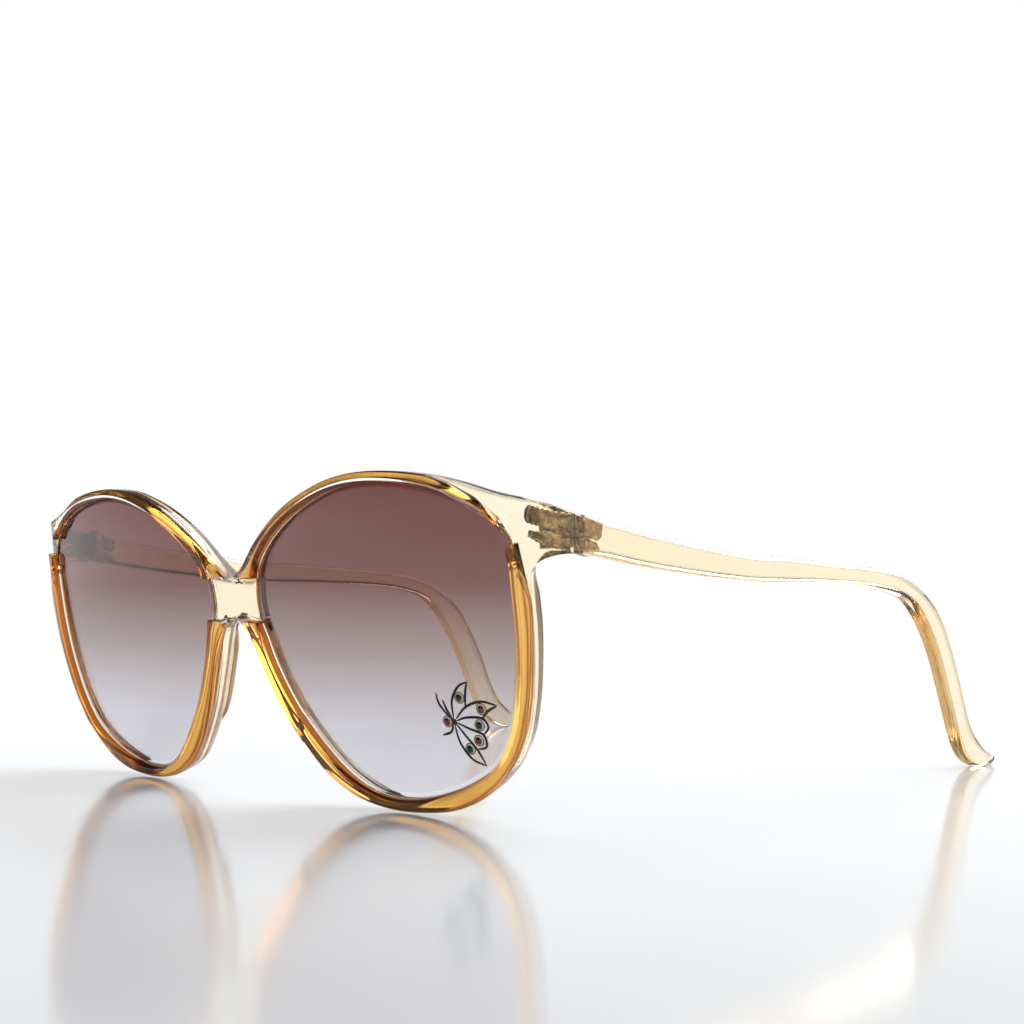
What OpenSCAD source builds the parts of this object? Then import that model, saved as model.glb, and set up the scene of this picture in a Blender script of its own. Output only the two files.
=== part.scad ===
// Oversized sunglasses: a clear base, a dark amber front layer in four segments, two domed
// lenses, two folding temples, and a small butterfly with stones on the left lens.
// X runs to the wearer's left, Y from the front towards the ears, Z up; z = 0 is the table.
// The pieces are drawn with y = 0 near the front, and in_place() then moves the origin to the
// middle of the footprint. The front is drawn upright in its own plane (x, v) and leaned.

/* [Front] */
// Radius of the dome that each lens and its rim follow
dome_r = 210; // [200:5:230]
// Distance of each dome's axis from the middle plane
dome_x = 21.2; // [20.8:0.2:21.8]
// Lean of the front, whose top stands forward of its bottom, in degrees
lean = 10; // [9:0.5:10.5]
// Height of the front's datum line above the table
datum_z = 29.4; // [29.4:0.1:30]

/* [Layers] */
// Thickness of the dark amber front layer
tint_t = 1.2; // [0.9:0.1:1.4]
// Thickness of the clear base behind it
base_t = 3; // [2.8:0.1:3.4]
// Thickness of each lens
lens_t = 1.6; // [1.2:0.1:1.7]
// Depth of the lens's front face behind the front layer's face
lens_depth = 1.5; // [1.45:0.05:1.7]
// Height of the lens edge that sits in the groove
bezel = 0.6; // [0.4:0.1:0.8]

/* [Endpieces and hinges] */
// Distance of the outer side of each endpiece from the middle plane
side_x = 72; // [71.6:0.2:72.4]
// Thickness of the endpiece and of the temple at the hinge
side_t = 4.1; // [3.9:0.1:4.3]
// Place of the joint between endpiece and temple, front to back
joint_y = 13.7; // [13.3:0.1:14.1]
// Gap between endpiece and temple in the open position
joint_gap = 0.2; // [0.16:0.02:0.3]
// Radius of the hinge barrels
barrel_r = 1.25; // [1.15:0.05:1.3]
// Radius of the hinge screw's shaft
screw_r = 0.6; // [0.5:0.05:0.65]
// Height of one hinge barrel
barrel_h = 0.9; // [0.8:0.05:0.94]
// Play between neighbouring barrels
barrel_gap = 0.06; // [0.04:0.01:0.1]
// Height of the lowest barrel's lower end
barrel_z = 42.4; // [42.2:0.1:42.6]
// Radial play of the screw in the temple's barrels
screw_play = 0.05; // [0.03:0.01:0.08]

/* [Butterfly] */
// Width of the butterfly's lines
line_w = 0.3; // [0.24:0.02:0.36]
// Height of the lines above the lens
line_h = 0.14; // [0.1:0.02:0.2]
// Radius of each round stone
stone_r = 0.6; // [0.5:0.05:0.7]

/* [Hidden] */

// Half way from the front to the temple tips
middle_y = 67;

$fn = 96;
dome_fn = 720;
curve_steps = 4;
wing_steps = 3;
lens_play = 0.03;
back_w = tint_t + base_t;

// Opening of the left rim, clockwise from the bridge, as (x, v)
opening_points = [[7.3, 1.2], [6.9, 5.2], [8, 9.6], [11.4, 13.5], [16.4, 17], [22.8, 20.2],
    [30.2, 22.6], [38, 23.5], [46, 22.9], [53.5, 21.2], [59.8, 18.7], [64.2, 15.6],
    [65.8, 11.2], [65.9, 5.2], [65.6, -1.6], [64.5, -8.6], [62.2, -15.6], [58.4, -21.2],
    [53, -24.5], [46.4, -26.9], [39, -28.3], [31.6, -27.8], [24.9, -24.6], [19, -19.2],
    [14.2, -13.3], [10.6, -6.9], [8.5, -1.8]];

// Upper edge of the left half of the front, from the bridge to the endpiece
brow_points = [[0, 8.1], [1.9, 9], [4.9, 11.4], [8.6, 14.7], [13.3, 18], [18.4, 20.8],
    [24.2, 23], [30.2, 24.6], [36.6, 25.3], [43.6, 25.1], [50.3, 24.2], [56.5, 22.7],
    [62.4, 20.8], [66.4, 19.2]];

// Outer edge of the left rim, from below the endpiece round to the bridge
rim_points = [[67.6, 12.6], [68.4, 8.8], [69, 4.4], [68.8, 0], [68, -5.6], [66.6, -11.6],
    [64.2, -17.6], [60.3, -22.7], [54.8, -26.9], [48, -29.5], [40.6, -30.35], [33.4, -30.2],
    [26.6, -28.8], [20.8, -25.9], [16.2, -21.8], [12.7, -17.4], [10, -13.2], [7.9, -9.2],
    [6.1, -5.4], [4.4, -2], [2.4, 0.4], [0, 1.2]];

// Tapered outer end of the dark brow segment, from the upper edge down to the opening
brow_tip_points = [[50.4, 25.6], [52.6, 23.9], [57.8, 21.5], [61, 19.7], [63.6, 17.5], [64.5, 16], [63.6, 15]];

// Heights of the clear window between the dark segments at the bridge
window_top = 8.3;
window_bottom = 1;

// Slanted upper end of the dark rim segment
rim_end_points = [[80, 14.2], [68, 13.3], [65, 12], [40, window_bottom]];

// Corner of the endpiece in plan, and the radius of the fillet behind it
corner_r = 6.6;
corner_y = 13;
inner_fillet_r = 3.4;

// Upper and lower edge of the endpiece seen from the side, as (y, v) in the front's plane
endpiece_top = [[3, 21.2], [7, 19], [10.3, 17.7], [17.5, 14.9]];
endpiece_bottom = [[17.5, 8.8], [15.6, 9.5], [12.2, 10.2], [9.2, 10.2], [7.2, 9.6], [5.4, 8.2], [3, 7.4]];

// Upper and lower edge of the temple seen from the side, as (y, z)
temple_top = [[joint_y + joint_gap / 2, 47.25], [20, 46.3], [30, 44.6], [44, 42.6], [58, 41.1],
    [64, 41], [76, 40.1], [90, 39.2], [99, 38.1], [106, 35.9], [111.4, 32.8], [115.4, 29],
    [118.8, 23.8], [121.8, 18], [124.4, 12], [127, 7.4], [131, 4], [135.6, 1.9], [136.8, 0.8]];
temple_toe = [[136.4, 0], [129, 0]];
temple_bottom = [[125.2, 1.5], [122.4, 3.7], [119.6, 8.6], [116.4, 15.8], [112.8, 22.6],
    [109, 28.2], [105, 32], [98, 34.5], [89, 35.7], [72, 36.5], [56, 36.9], [43, 37.9],
    [32, 39], [22, 40.5], [joint_y + joint_gap / 2, 41.7]];

// Outer and inner side of the temple seen from above, as offsets from side_x and y
temple_outer = [[0, joint_y], [0, 30], [-0.5, 60], [-1.4, 90], [-2.1, 110], [-3.4, 126], [-4.2, 138]];
temple_inner = [[-7, 138], [-6.4, 126], [-5.4, 110], [-4.8, 90], [-4.2, 60], [-4.1, 30]];

// Hinge: axis of the screw, leaves and anchors set in the plastic
inner_x = side_x - side_t;
axis_x = inner_x - barrel_r - 0.45;
leaf_t = 0.8;
leaf_reach = 3.2;
anchor_h = 2.4;
anchor_tilt = -12;
screw_head_r = 1.05;
screw_head_h = 0.7;
slot_w = 0.3;
barrel_pitch = barrel_h + barrel_gap;
stack_top = barrel_z + 5 * barrel_pitch - barrel_gap;

// Nose pads: stations along the rim as (x, v, depth, radius)
pad_stations = [[4.9, 1.2, 4.15, 1.1], [6.3, -3.8, 3.8, 1.7], [8.8, -9.2, 3.8, 1.9],
    [11.7, -14.4, 4, 1.8], [14.6, -18.6, 4.4, 1.2]];

// Butterfly: body at its origin, each line an open curve that starts or ends on another
butterfly_at = [50.9, -14.9];
wing_lines = [
    [[0, 0.4], [0.3, 3.4], [1.9, 5.6], [3.9, 6.5]],
    [[3.85, 6.45], [3.2, 4.6], [2.75, 2.3]],
    [[0.3, 0.3], [2.8, 2.4], [5.9, 3.3], [8.9, 2.7]],
    [[8.85, 2.65], [7, 1.8], [5.6, 0.55]],
    [[0.4, 0.1], [2.6, 0.7], [5.6, 0.6], [6.5, -0.8], [5.25, -2.15]],
    [[0.4, -0.1], [2.8, -1.1], [5.3, -2.1], [5.4, -4], [3.45, -4.45]],
    [[0.3, -0.3], [1.8, -2.3], [3.5, -4.5], [4.7, -7.2]],
    [[4.65, -7.15], [2.1, -6], [0.4, -3.4], [0, -0.4]]];
feeler_lines = [
    [[-0.3, 0.3], [-1.6, 1.7], [-2.5, 3.1], [-2.7, 4.7]],
    [[-0.2, 0.35], [-1, 1.8], [-1.6, 3.6]],
    [[-0.2, -0.3], [-1, -1.7], [-2.9, -2.3]]];
body_line = [[-0.35, 0.35], [0.45, -0.45]];
ruby_places = [[-1.3, 0], [5.8, 2.1], [4.2, -3]];
emerald_places = [[1.9, 3.9], [4.9, -0.5], [2.2, -4.4]];
body_w = 0.8;
stone_h = 0.5;
table_r = 0.34;

// Point between p1 and p2 on the smooth curve through p0, p1, p2 and p3
function blend(p0, p1, p2, p3, t) =
    ((2 * p1) + (p2 - p0) * t + (2 * p0 - 5 * p1 + 4 * p2 - p3) * t * t
    + (3 * p1 - p0 - 3 * p2 + p3) * t * t * t) / 2;

// Smooth closed curve through the points
function closed_curve(p, steps = curve_steps) =
    let (n = len(p))
    [for (i = [0:n - 1]) for (k = [0:steps - 1])
        blend(p[(i + n - 1) % n], p[i], p[(i + 1) % n], p[(i + 2) % n], k / steps)];

// Smooth open curve through the points, ends included
function open_curve(p, steps = curve_steps) =
    let (last = len(p) - 1)
    concat([for (i = [0:last - 1]) for (k = [0:steps - 1])
        blend(p[max(i - 1, 0)], p[i], p[i + 1], p[min(i + 2, last)], k / steps)], [p[last]]);

// Unit vector to the left of the direction a to b
function left_of(a, b) = [a[1] - b[1], b[0] - a[0]] / norm(b - a);

// Closed clockwise curve moved outwards by d
function grown(c, d) =
    let (n = len(c))
    [for (i = [0:n - 1]) c[i] + d * left_of(c[(i + n - 1) % n], c[(i + 1) % n])];

// Ribbon of width w along an open curve
function ribbon(c, w) =
    let (last = len(c) - 1, n = [for (i = [0:last]) left_of(c[max(i - 1, 0)], c[min(i + 1, last)])])
    concat([for (i = [0:last]) c[i] + n[i] * w / 2], [for (i = [last:-1:0]) c[i] - n[i] * w / 2]);

opening_curve = closed_curve(opening_points);
brow_curve = open_curve(brow_points);
rim_curve = open_curve(rim_points);

// Depth in the front's plane at which the joint's upright plane passes height v
function joint_depth(v) = (joint_y - joint_gap / 2 + v * sin(lean)) / cos(lean);

// Origin moved from near the front to the middle of the footprint
module in_place() {
    translate([0, -middle_y, 0]) children();
}

// The front's plane carried into the object's place
module lean_back() {
    translate([0, 0, datum_z]) rotate([lean, 0, 0]) children();
}

// A shape and its mirror image across the middle plane
module both_sides() {
    children();
    mirror([1, 0, 0]) children();
}

module right_side() {
    mirror([1, 0, 0]) children();
}

// Flat (x, v) shape pushed through the front from before it to well behind it
module push_through() {
    translate([0, 30, 0]) rotate([90, 0, 0]) linear_extrude(height = 40) children();
}

// Ball of the left dome at a depth below its surface
module dome_ball(depth) {
    translate([dome_x, dome_r, 0]) sphere(r = dome_r - depth, $fn = dome_fn);
}

// Flat (x, v) shape as a domed plate between two depths
module domed(from_depth, to_depth) {
    intersection() {
        push_through() children();
        difference() {
            dome_ball(from_depth);
            dome_ball(to_depth);
        }
    }
}

// Face of the left half of the front, with the lens opening
module half_face() {
    difference() {
        polygon(concat(brow_curve, rim_curve));
        polygon(opening_curve);
    }
}

// Endpiece in plan, as (x, y)
module endpiece_plan() {
    outer_arc = [for (a = [-90:6:0]) [side_x - corner_r, corner_y] + corner_r * [cos(a), sin(a)]];
    inner_arc = [for (a = [0:-15:-75]) [inner_x - inner_fillet_r, corner_y + 0.6]
        + inner_fillet_r * [cos(a), sin(a)]];
    polygon(concat([[58, 4]], outer_arc, [[side_x, 19], [inner_x, 19]], inner_arc, [[60, 9]]));
}

// Endpiece seen from the side, cut off at the joint's upright plane
module endpiece_profile() {
    intersection() {
        polygon(concat(open_curve(endpiece_top), open_curve(endpiece_bottom)));
        polygon([[0, 0], [0, 30], [joint_depth(30), 30], [joint_depth(0), 0]]);
    }
}

module endpiece() {
    difference() {
        intersection() {
            linear_extrude(height = 30) endpiece_plan();
            rotate([90, 0, 90]) linear_extrude(height = side_x + 5) endpiece_profile();
            dome_ball(tint_t);
        }
        push_through() polygon(opening_curve);
    }
}

// Anchor of a hinge leaf: a flat tang inside the plastic, starting at (y, z) and running by length
module anchor(y, z, length) {
    translate([inner_x + 0.2, y, z]) rotate([anchor_tilt, 0, 0])
        translate([0, min(length, 0), -anchor_h / 2]) cube([leaf_t, abs(length), anchor_h]);
}

// Barrels of one leaf, each with its neck to the leaf's plate; way is -1 to the front, 1 to the back
module barrels(numbers, way, bore_r) {
    neck_y = way < 0 ? joint_y - barrel_r : joint_y + joint_gap;
    difference() {
        for (i = numbers) translate([0, 0, barrel_z + i * barrel_pitch]) {
            translate([axis_x, joint_y, 0]) cylinder(r = barrel_r, h = barrel_h);
            translate([axis_x, neck_y, 0])
                cube([inner_x - axis_x + 0.1, barrel_r - joint_gap, barrel_h]);
        }
        translate([axis_x, joint_y, barrel_z - 1]) cylinder(r = bore_r, h = 8);
    }
}

// Plate and anchors of the leaf in the endpiece
module front_leaf_set() {
    translate([inner_x, joint_y - joint_gap - leaf_reach, barrel_z])
        cube([leaf_t, leaf_reach, stack_top - barrel_z]);
    anchor(12.9, 46, -7.6);
    anchor(12.9, 43.2, -6.4);
}

// Plate and anchors of the leaf in the temple
module temple_leaf_set() {
    translate([inner_x, joint_y + joint_gap, barrel_z])
        cube([leaf_t, leaf_reach, stack_top - barrel_z]);
    anchor(14.6, 45.8, 6.2);
    anchor(14.6, 43.3, 5.6);
}

module front_frame() {
    color("#f3e3b4") both_sides() difference() {
        lean_back() union() {
            domed(tint_t, back_w) half_face();
            endpiece();
        }
        lean_back() domed(lens_depth - lens_play, lens_depth + lens_t + lens_play)
            polygon(grown(opening_curve, bezel + lens_play));
        front_leaf_set();
    }
}

module brow_layer() {
    color("#7a2d0e") lean_back() domed(0, tint_t) intersection() {
        half_face();
        polygon(concat([[40, window_top], [0, window_top], [0, 40], [50, 40]],
            open_curve(brow_tip_points)));
    }
}

module rim_layer() {
    color("#8a3410") lean_back() domed(0, tint_t) intersection() {
        half_face();
        polygon(concat([[0, window_bottom], [0, -40], [80, -40]], rim_end_points));
    }
}

module lens() {
    color("#8b6f73") lean_back() domed(lens_depth, lens_depth + lens_t)
        polygon(grown(opening_curve, bezel));
}

module nose_pad() {
    color("#d8c79a") lean_back() intersection() {
        for (i = [0:len(pad_stations) - 2]) hull() for (s = [pad_stations[i], pad_stations[i + 1]])
            translate([s[0], s[2], s[1]]) sphere(r = s[3], $fn = 32);
        dome_ball(back_w);
    }
}

module hinge_front_leaf() {
    color("#b9a778") {
        front_leaf_set();
        barrels([0, 2, 4], -1, screw_r);
    }
}

module hinge_temple_leaf() {
    color("#b9a778") {
        temple_leaf_set();
        barrels([1, 3], 1, screw_r + screw_play);
    }
}

module hinge_screw() {
    color("#9c8c62") translate([axis_x, joint_y, 0]) difference() {
        union() {
            translate([0, 0, barrel_z]) cylinder(r = screw_r, h = stack_top - barrel_z);
            translate([0, 0, stack_top]) cylinder(r = screw_head_r, h = screw_head_h);
        }
        translate([-2, -slot_w / 2, stack_top + screw_head_h - slot_w]) cube([4, slot_w, 1]);
    }
}

module temple() {
    profile = concat(open_curve(temple_top), temple_toe, open_curve(temple_bottom));
    plan = concat(open_curve(temple_outer), open_curve(temple_inner), [[-side_t, joint_y]]);
    color("#f3e3b4") difference() {
        intersection() {
            translate([50, 0, 0]) rotate([90, 0, 90]) linear_extrude(height = 30) polygon(profile);
            translate([side_x, 0, -5]) linear_extrude(height = 60) polygon(plan);
        }
        temple_leaf_set();
    }
}

module butterfly_linework() {
    ribbons = concat([for (c = concat(wing_lines, feeler_lines)) ribbon(open_curve(c, wing_steps), line_w)],
        [ribbon(body_line, body_w)]);
    color("#241410") lean_back() domed(lens_depth - line_h, lens_depth) translate(butterfly_at)
        for (r = ribbons) polygon(r);
}

// Round stone with a flat top, set square on the lens at a place (u, v) from the butterfly's body
module stone(place) {
    p = butterfly_at + place;
    side = p[0] - dome_x;
    out = sqrt(side * side + p[1] * p[1]);
    lean_back() translate([dome_x, dome_r, 0])
        rotate([0, 0, asin(side / dome_r)]) rotate([-asin(p[1] / dome_r), 0, 0])
        translate([0, lens_depth - dome_r, 0]) rotate([90, 0, 0]) {
            cylinder(r = stone_r, h = stone_h * 0.4);
            translate([0, 0, stone_h * 0.4]) cylinder(r1 = stone_r, r2 = table_r, h = stone_h * 0.6);
        }
}

in_place() front_frame();
in_place() brow_layer();  // brow_layer_left
in_place() right_side() brow_layer();  // brow_layer_right
in_place() rim_layer();  // rim_layer_left
in_place() right_side() rim_layer();  // rim_layer_right
in_place() lens();  // lens_left
in_place() right_side() lens();  // lens_right
in_place() nose_pad();  // nose_pad_left
in_place() right_side() nose_pad();  // nose_pad_right
in_place() hinge_front_leaf();  // hinge_front_leaf_left
in_place() right_side() hinge_front_leaf();  // hinge_front_leaf_right
in_place() hinge_temple_leaf();  // hinge_temple_leaf_left
in_place() right_side() hinge_temple_leaf();  // hinge_temple_leaf_right
in_place() hinge_screw();  // hinge_screw_left
in_place() right_side() hinge_screw();  // hinge_screw_right
in_place() temple();  // temple_left
in_place() right_side() temple();  // temple_right
in_place() butterfly_linework();
in_place() color("#a01830") stone(ruby_places[0]);  // ruby_stone_1
in_place() color("#a01830") stone(ruby_places[1]);  // ruby_stone_2
in_place() color("#a01830") stone(ruby_places[2]);  // ruby_stone_3
in_place() color("#0f6a45") stone(emerald_places[0]);  // emerald_stone_1
in_place() color("#0f6a45") stone(emerald_places[1]);  // emerald_stone_2
in_place() color("#0f6a45") stone(emerald_places[2]);  // emerald_stone_3
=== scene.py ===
# %% [markdown]
# Oversized sunglasses, dressed in Blender
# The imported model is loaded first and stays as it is: it says where every piece is and how the
# temples fold. Every surface below is then worked out in the same frame: +X to the wearer's
# left, +Y from the front towards the ears, +Z up, with the table at z = 0.

import math

import bmesh
import bpy
import numpy as np
from mathutils import Matrix, Vector


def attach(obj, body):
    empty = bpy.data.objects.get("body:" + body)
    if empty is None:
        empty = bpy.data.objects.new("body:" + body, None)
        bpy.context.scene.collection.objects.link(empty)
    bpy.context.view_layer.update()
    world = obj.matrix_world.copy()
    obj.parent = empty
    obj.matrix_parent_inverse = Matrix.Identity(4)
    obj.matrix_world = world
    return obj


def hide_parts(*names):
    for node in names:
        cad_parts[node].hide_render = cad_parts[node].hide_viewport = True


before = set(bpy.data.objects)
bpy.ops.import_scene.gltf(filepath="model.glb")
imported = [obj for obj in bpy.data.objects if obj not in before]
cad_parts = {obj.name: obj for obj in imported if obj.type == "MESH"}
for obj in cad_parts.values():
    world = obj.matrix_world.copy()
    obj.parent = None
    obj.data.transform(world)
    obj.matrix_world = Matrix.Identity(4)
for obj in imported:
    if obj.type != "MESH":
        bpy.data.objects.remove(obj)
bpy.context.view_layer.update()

# %% [markdown]
# ## Camera
# The photograph was taken from the wearer's left, close to table height, with a long lens. The
# camera stands where the outlines of both lenses, both rims and the near temple fall on theirs.
# It could look at a target by a constraint, but its axes are written straight into its matrix, so
# that nothing else has to stay in place for it.

# %% Camera
MM = 0.001
CAMERA_MM = (257.03, -246.92, 38.84)
YAW, PITCH, ROLL = (math.radians(angle) for angle in (-45.992, 1.899, -0.373))
LENS_MM = 62.72
SENSOR_MM = 36.0

ahead = Vector((math.sin(YAW) * math.cos(PITCH), math.cos(YAW) * math.cos(PITCH), math.sin(PITCH)))
level_right = Vector((math.cos(YAW), -math.sin(YAW), 0))
level_up = level_right.cross(ahead)
right = math.cos(ROLL) * level_right + math.sin(ROLL) * level_up
up = math.cos(ROLL) * level_up - math.sin(ROLL) * level_right

camera = bpy.data.objects.new("camera", bpy.data.cameras.new("camera"))
camera.data.sensor_width = SENSOR_MM
camera.data.lens = LENS_MM
camera.data.clip_start = 0.01
camera.matrix_world = Matrix.Translation(Vector(CAMERA_MM) * MM) @ Matrix(
    (right, up, -ahead)).transposed().to_4x4()
bpy.context.scene.collection.objects.link(camera)
bpy.context.scene.camera = camera
print("camera at", [round(c, 4) for c in camera.location])

# %% [markdown]
# ## Curves through a few points
# The outlines of the rims are smooth curves through given points, in millimetres. A
# Catmull-Rom curve passes through every point and leaves each one in the direction of the line
# between its two neighbours. Bezier handles would give more control, but need three times the
# numbers.


# %% Curve helpers
def spline(points, steps, closed=False, mirror_start=False, mirror_end=False):
    """Catmull-Rom curve: on each span the cubic ((2b) + (c-a)t + (2a-5b+4c-d)t^2 + (3b-a-3c+d)t^3)/2
    through b and c, where a and d are the points before and after."""
    p = np.asarray(points, float)
    if closed:
        ring = np.vstack([p[-1:], p, p[:2]])
    else:
        flip = np.array([-1.0, 1.0])
        before = p[1:2] * flip if mirror_start else 2 * p[:1] - p[1:2]
        after = p[-2:-1] * flip if mirror_end else 2 * p[-1:] - p[-2:-1]
        ring = np.vstack([before, p, after])
    t = np.linspace(0, 1, steps, endpoint=False)[None, :, None]
    a, b, c, d = (ring[i:len(ring) - 3 + i, None, :] for i in range(4))
    curve = (2 * b + (c - a) * t + (2 * a - 5 * b + 4 * c - d) * t**2
             + (3 * b - a - 3 * c + d) * t**3) / 2
    curve = curve.reshape(-1, p.shape[1])
    return curve if closed else np.vstack([curve, p[-1:]])


def resampled(curve, count):
    """The same curve with count points at even steps of arc length."""
    reach = np.concatenate([[0], np.cumsum(np.linalg.norm(np.diff(curve, axis=0), axis=1))])
    at = np.linspace(0, 1, count) * reach[-1]
    return np.stack([np.interp(at, reach, curve[:, k]) for k in range(curve.shape[1])], axis=1)


def normals_of(curve):
    """Unit normal to the right of the direction of travel, from central differences."""
    step = np.gradient(curve, axis=0)
    step /= np.maximum(np.linalg.norm(step, axis=1, keepdims=True), 1e-9)
    return np.stack([step[:, 1], -step[:, 0]], axis=1)


# %% [markdown]
# ## From numbers to meshes
# Each surface is a grid of points. Its faces join neighbours along both directions of the grid,
# and a direction may close on itself. Grids that share an edge are joined, and the points that
# coincide are merged, so that every piece is one closed skin. Modelling tools and booleans could
# do the same, but a grid keeps its edges even and its roundings true.


# %% Mesh helpers
def grid_faces(rows, columns, close_rows=False, close_columns=False):
    """Quads of a rows x columns grid, as indices into its points in row order."""
    r = np.arange(rows if close_rows else rows - 1)[:, None]
    c = np.arange(columns if close_columns else columns - 1)[None, :]
    r2, c2 = (r + 1) % rows, (c + 1) % columns
    return np.stack([r * columns + c, r * columns + c2, r2 * columns + c2, r2 * columns + c],
                    axis=-1).reshape(-1, 4)


def joined(*parts):
    """Several (points, faces) pairs as one."""
    points, faces, start = [], [], 0
    for p, f in parts:
        points.append(p.reshape(-1, 3))
        faces.append(f + start)
        start += points[-1].shape[0]
    return np.vstack(points), np.vstack(faces)


def with_depth(points, depth):
    """A grid of (u, v) with its depth w added."""
    return np.concatenate([points, np.broadcast_to(depth, points.shape[:2])[..., None]], axis=2)


def mirrored(part):
    """The pair on the other side of the middle plane, with its faces turned to point outwards."""
    points, faces = part
    return points.reshape(-1, 3) * np.array([-1.0, 1.0, 1.0]), faces[:, ::-1]


def mesh_piece(name, part, merge_mm=0.0005, smooth=True, marks=None):
    """Blender object from points in millimetres and faces, with coinciding points merged. Marks are
    named numbers at the points, which a material can read."""
    points, faces = part
    mesh = bpy.data.meshes.new(name)
    mesh.vertices.add(len(points))
    mesh.vertices.foreach_set("co", (points * MM).astype(np.float32).ravel())
    mesh.loops.add(faces.size)
    mesh.loops.foreach_set("vertex_index", faces.astype(np.int32).ravel())
    mesh.polygons.add(len(faces))
    mesh.polygons.foreach_set("loop_start", np.arange(0, faces.size, faces.shape[1], dtype=np.int32))
    mesh.update(calc_edges=True)
    for mark, values in (marks or {}).items():
        layer = mesh.attributes.new(mark, "FLOAT", "POINT")
        layer.data.foreach_set("value", np.asarray(values, np.float32).ravel())
    work = bmesh.new()
    work.from_mesh(mesh)
    bmesh.ops.remove_doubles(work, verts=work.verts, dist=merge_mm * MM)
    bmesh.ops.recalc_face_normals(work, faces=work.faces)
    open_edges = sum(1 for e in work.edges if len(e.link_faces) < 2)
    work.to_mesh(mesh)
    work.free()
    mesh.polygons.foreach_set("use_smooth", np.full(len(mesh.polygons), smooth))
    piece = bpy.data.objects.new(name, mesh)
    bpy.context.scene.collection.objects.link(piece)
    print(name, "faces", len(mesh.polygons), "open edges", open_edges)
    return piece


def pair(name, part, **options):
    """The left piece and its mirror image, by side."""
    return {"left": mesh_piece(name + "_left", part, **options),
            "right": mesh_piece(name + "_right", mirrored(part), **options)}


# %% [markdown]
# ## The shape of the front
# Each half of the front follows a dome like a watch glass. Beyond the lens it turns the corner
# and runs back to the hinge. Three numbers place a point on it: u along the front, v up it and w,
# the depth behind its face. The whole front leans, with its top ahead of its bottom. Flat pieces
# could be bent by a modifier, but one formula for all of them keeps each in contact with the next.

# %% The front's surface
DOME_R = 210.0  # radius of the dome
DOME_X = 21.2  # where the dome is foremost, from the middle plane
LEAN = math.radians(10)
DATUM_Z = 29.4  # height of u = v = 0 above the table
MIDDLE_Y = 67.0  # from the face to half the depth of the whole pair
SOFT = 6.0  # how far the dome is softened beside the middle plane
CORNER_U, CORNER_R = 67.2, 7.8  # where the front turns back, and how tightly
TURN_LOW, TURN_HIGH = 3.5, 8.5  # the rim below keeps the dome, the endpiece above turns
corner_start = math.asin((CORNER_U - DOME_X) / DOME_R)
corner_arc = CORNER_R * (math.pi / 2 - corner_start)
corner_centre_x = CORNER_U - CORNER_R * math.sin(corner_start)
corner_centre_y = DOME_R * (1 - math.cos(corner_start)) + CORNER_R * math.cos(corner_start)


def smoothstep(low, high, x):
    """0 below low, 1 above high and the cubic 3t^2 - 2t^3 between."""
    t = np.clip((x - low) / (high - low), 0, 1)
    return t * t * (3 - 2 * t)


def on_front(u, v, w):
    """Point on the left half at (u, v), w behind the face. On the dome y = R - sqrt(R^2 - (s-c)^2 - v^2)
    with s = u, softened to (u^2 + 36)/12 near the middle so that both halves meet smoothly. Past the
    corner the heading turns at 1/CORNER_R until it points straight back."""
    u, v, w = np.broadcast_arrays(*(np.asarray(a, float) for a in (u, v, w)))
    soft = np.where(u < SOFT, (u * u + SOFT * SOFT) / (2 * SOFT), u)
    slope = np.where(u < SOFT, u / SOFT, 1.0)
    deep = np.sqrt(DOME_R**2 - (soft - DOME_X) ** 2 - v * v)
    normal = np.stack([-(soft - DOME_X) / deep * slope, np.ones_like(u), -v / deep], axis=-1)
    normal /= np.linalg.norm(normal, axis=-1, keepdims=True)
    dome = np.stack([u, DOME_R - deep, v], axis=-1)

    past = np.maximum(u - CORNER_U, 0)
    heading = corner_start + np.minimum(past, corner_arc) / CORNER_R
    rise = DOME_R - np.sqrt(DOME_R**2 - v * v)
    back = corner_centre_y - CORNER_R * np.cos(heading) + np.maximum(past - corner_arc, 0) + rise
    corner = np.stack([corner_centre_x + CORNER_R * np.sin(heading), back, v], axis=-1)
    corner_normal = np.stack([-np.sin(heading), np.cos(heading), -v / DOME_R * np.cos(heading)], axis=-1)
    corner_normal /= np.linalg.norm(corner_normal, axis=-1, keepdims=True)

    bent = (smoothstep(TURN_LOW, TURN_HIGH, v) * (u > CORNER_U))[..., None]
    point = (1 - bent) * dome + bent * corner
    inward = (1 - bent) * normal + bent * corner_normal
    inward /= np.linalg.norm(inward, axis=-1, keepdims=True)
    return point + inward * w[..., None]


def leaned(points):
    """The front's plane turned by LEAN about X, lifted to the datum and moved to the origin."""
    x, y, v = points[..., 0], points[..., 1], points[..., 2]
    return np.stack([x, y * math.cos(LEAN) - v * math.sin(LEAN) - MIDDLE_Y,
                     y * math.sin(LEAN) + v * math.cos(LEAN) + DATUM_Z], axis=-1)


def placed(uvw):
    """World millimetres of an array of (u, v, w)."""
    return leaned(on_front(uvw[..., 0], uvw[..., 1], uvw[..., 2]))


print("middle of the face at", np.round(placed(np.zeros(3)), 2), "mm")
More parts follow.
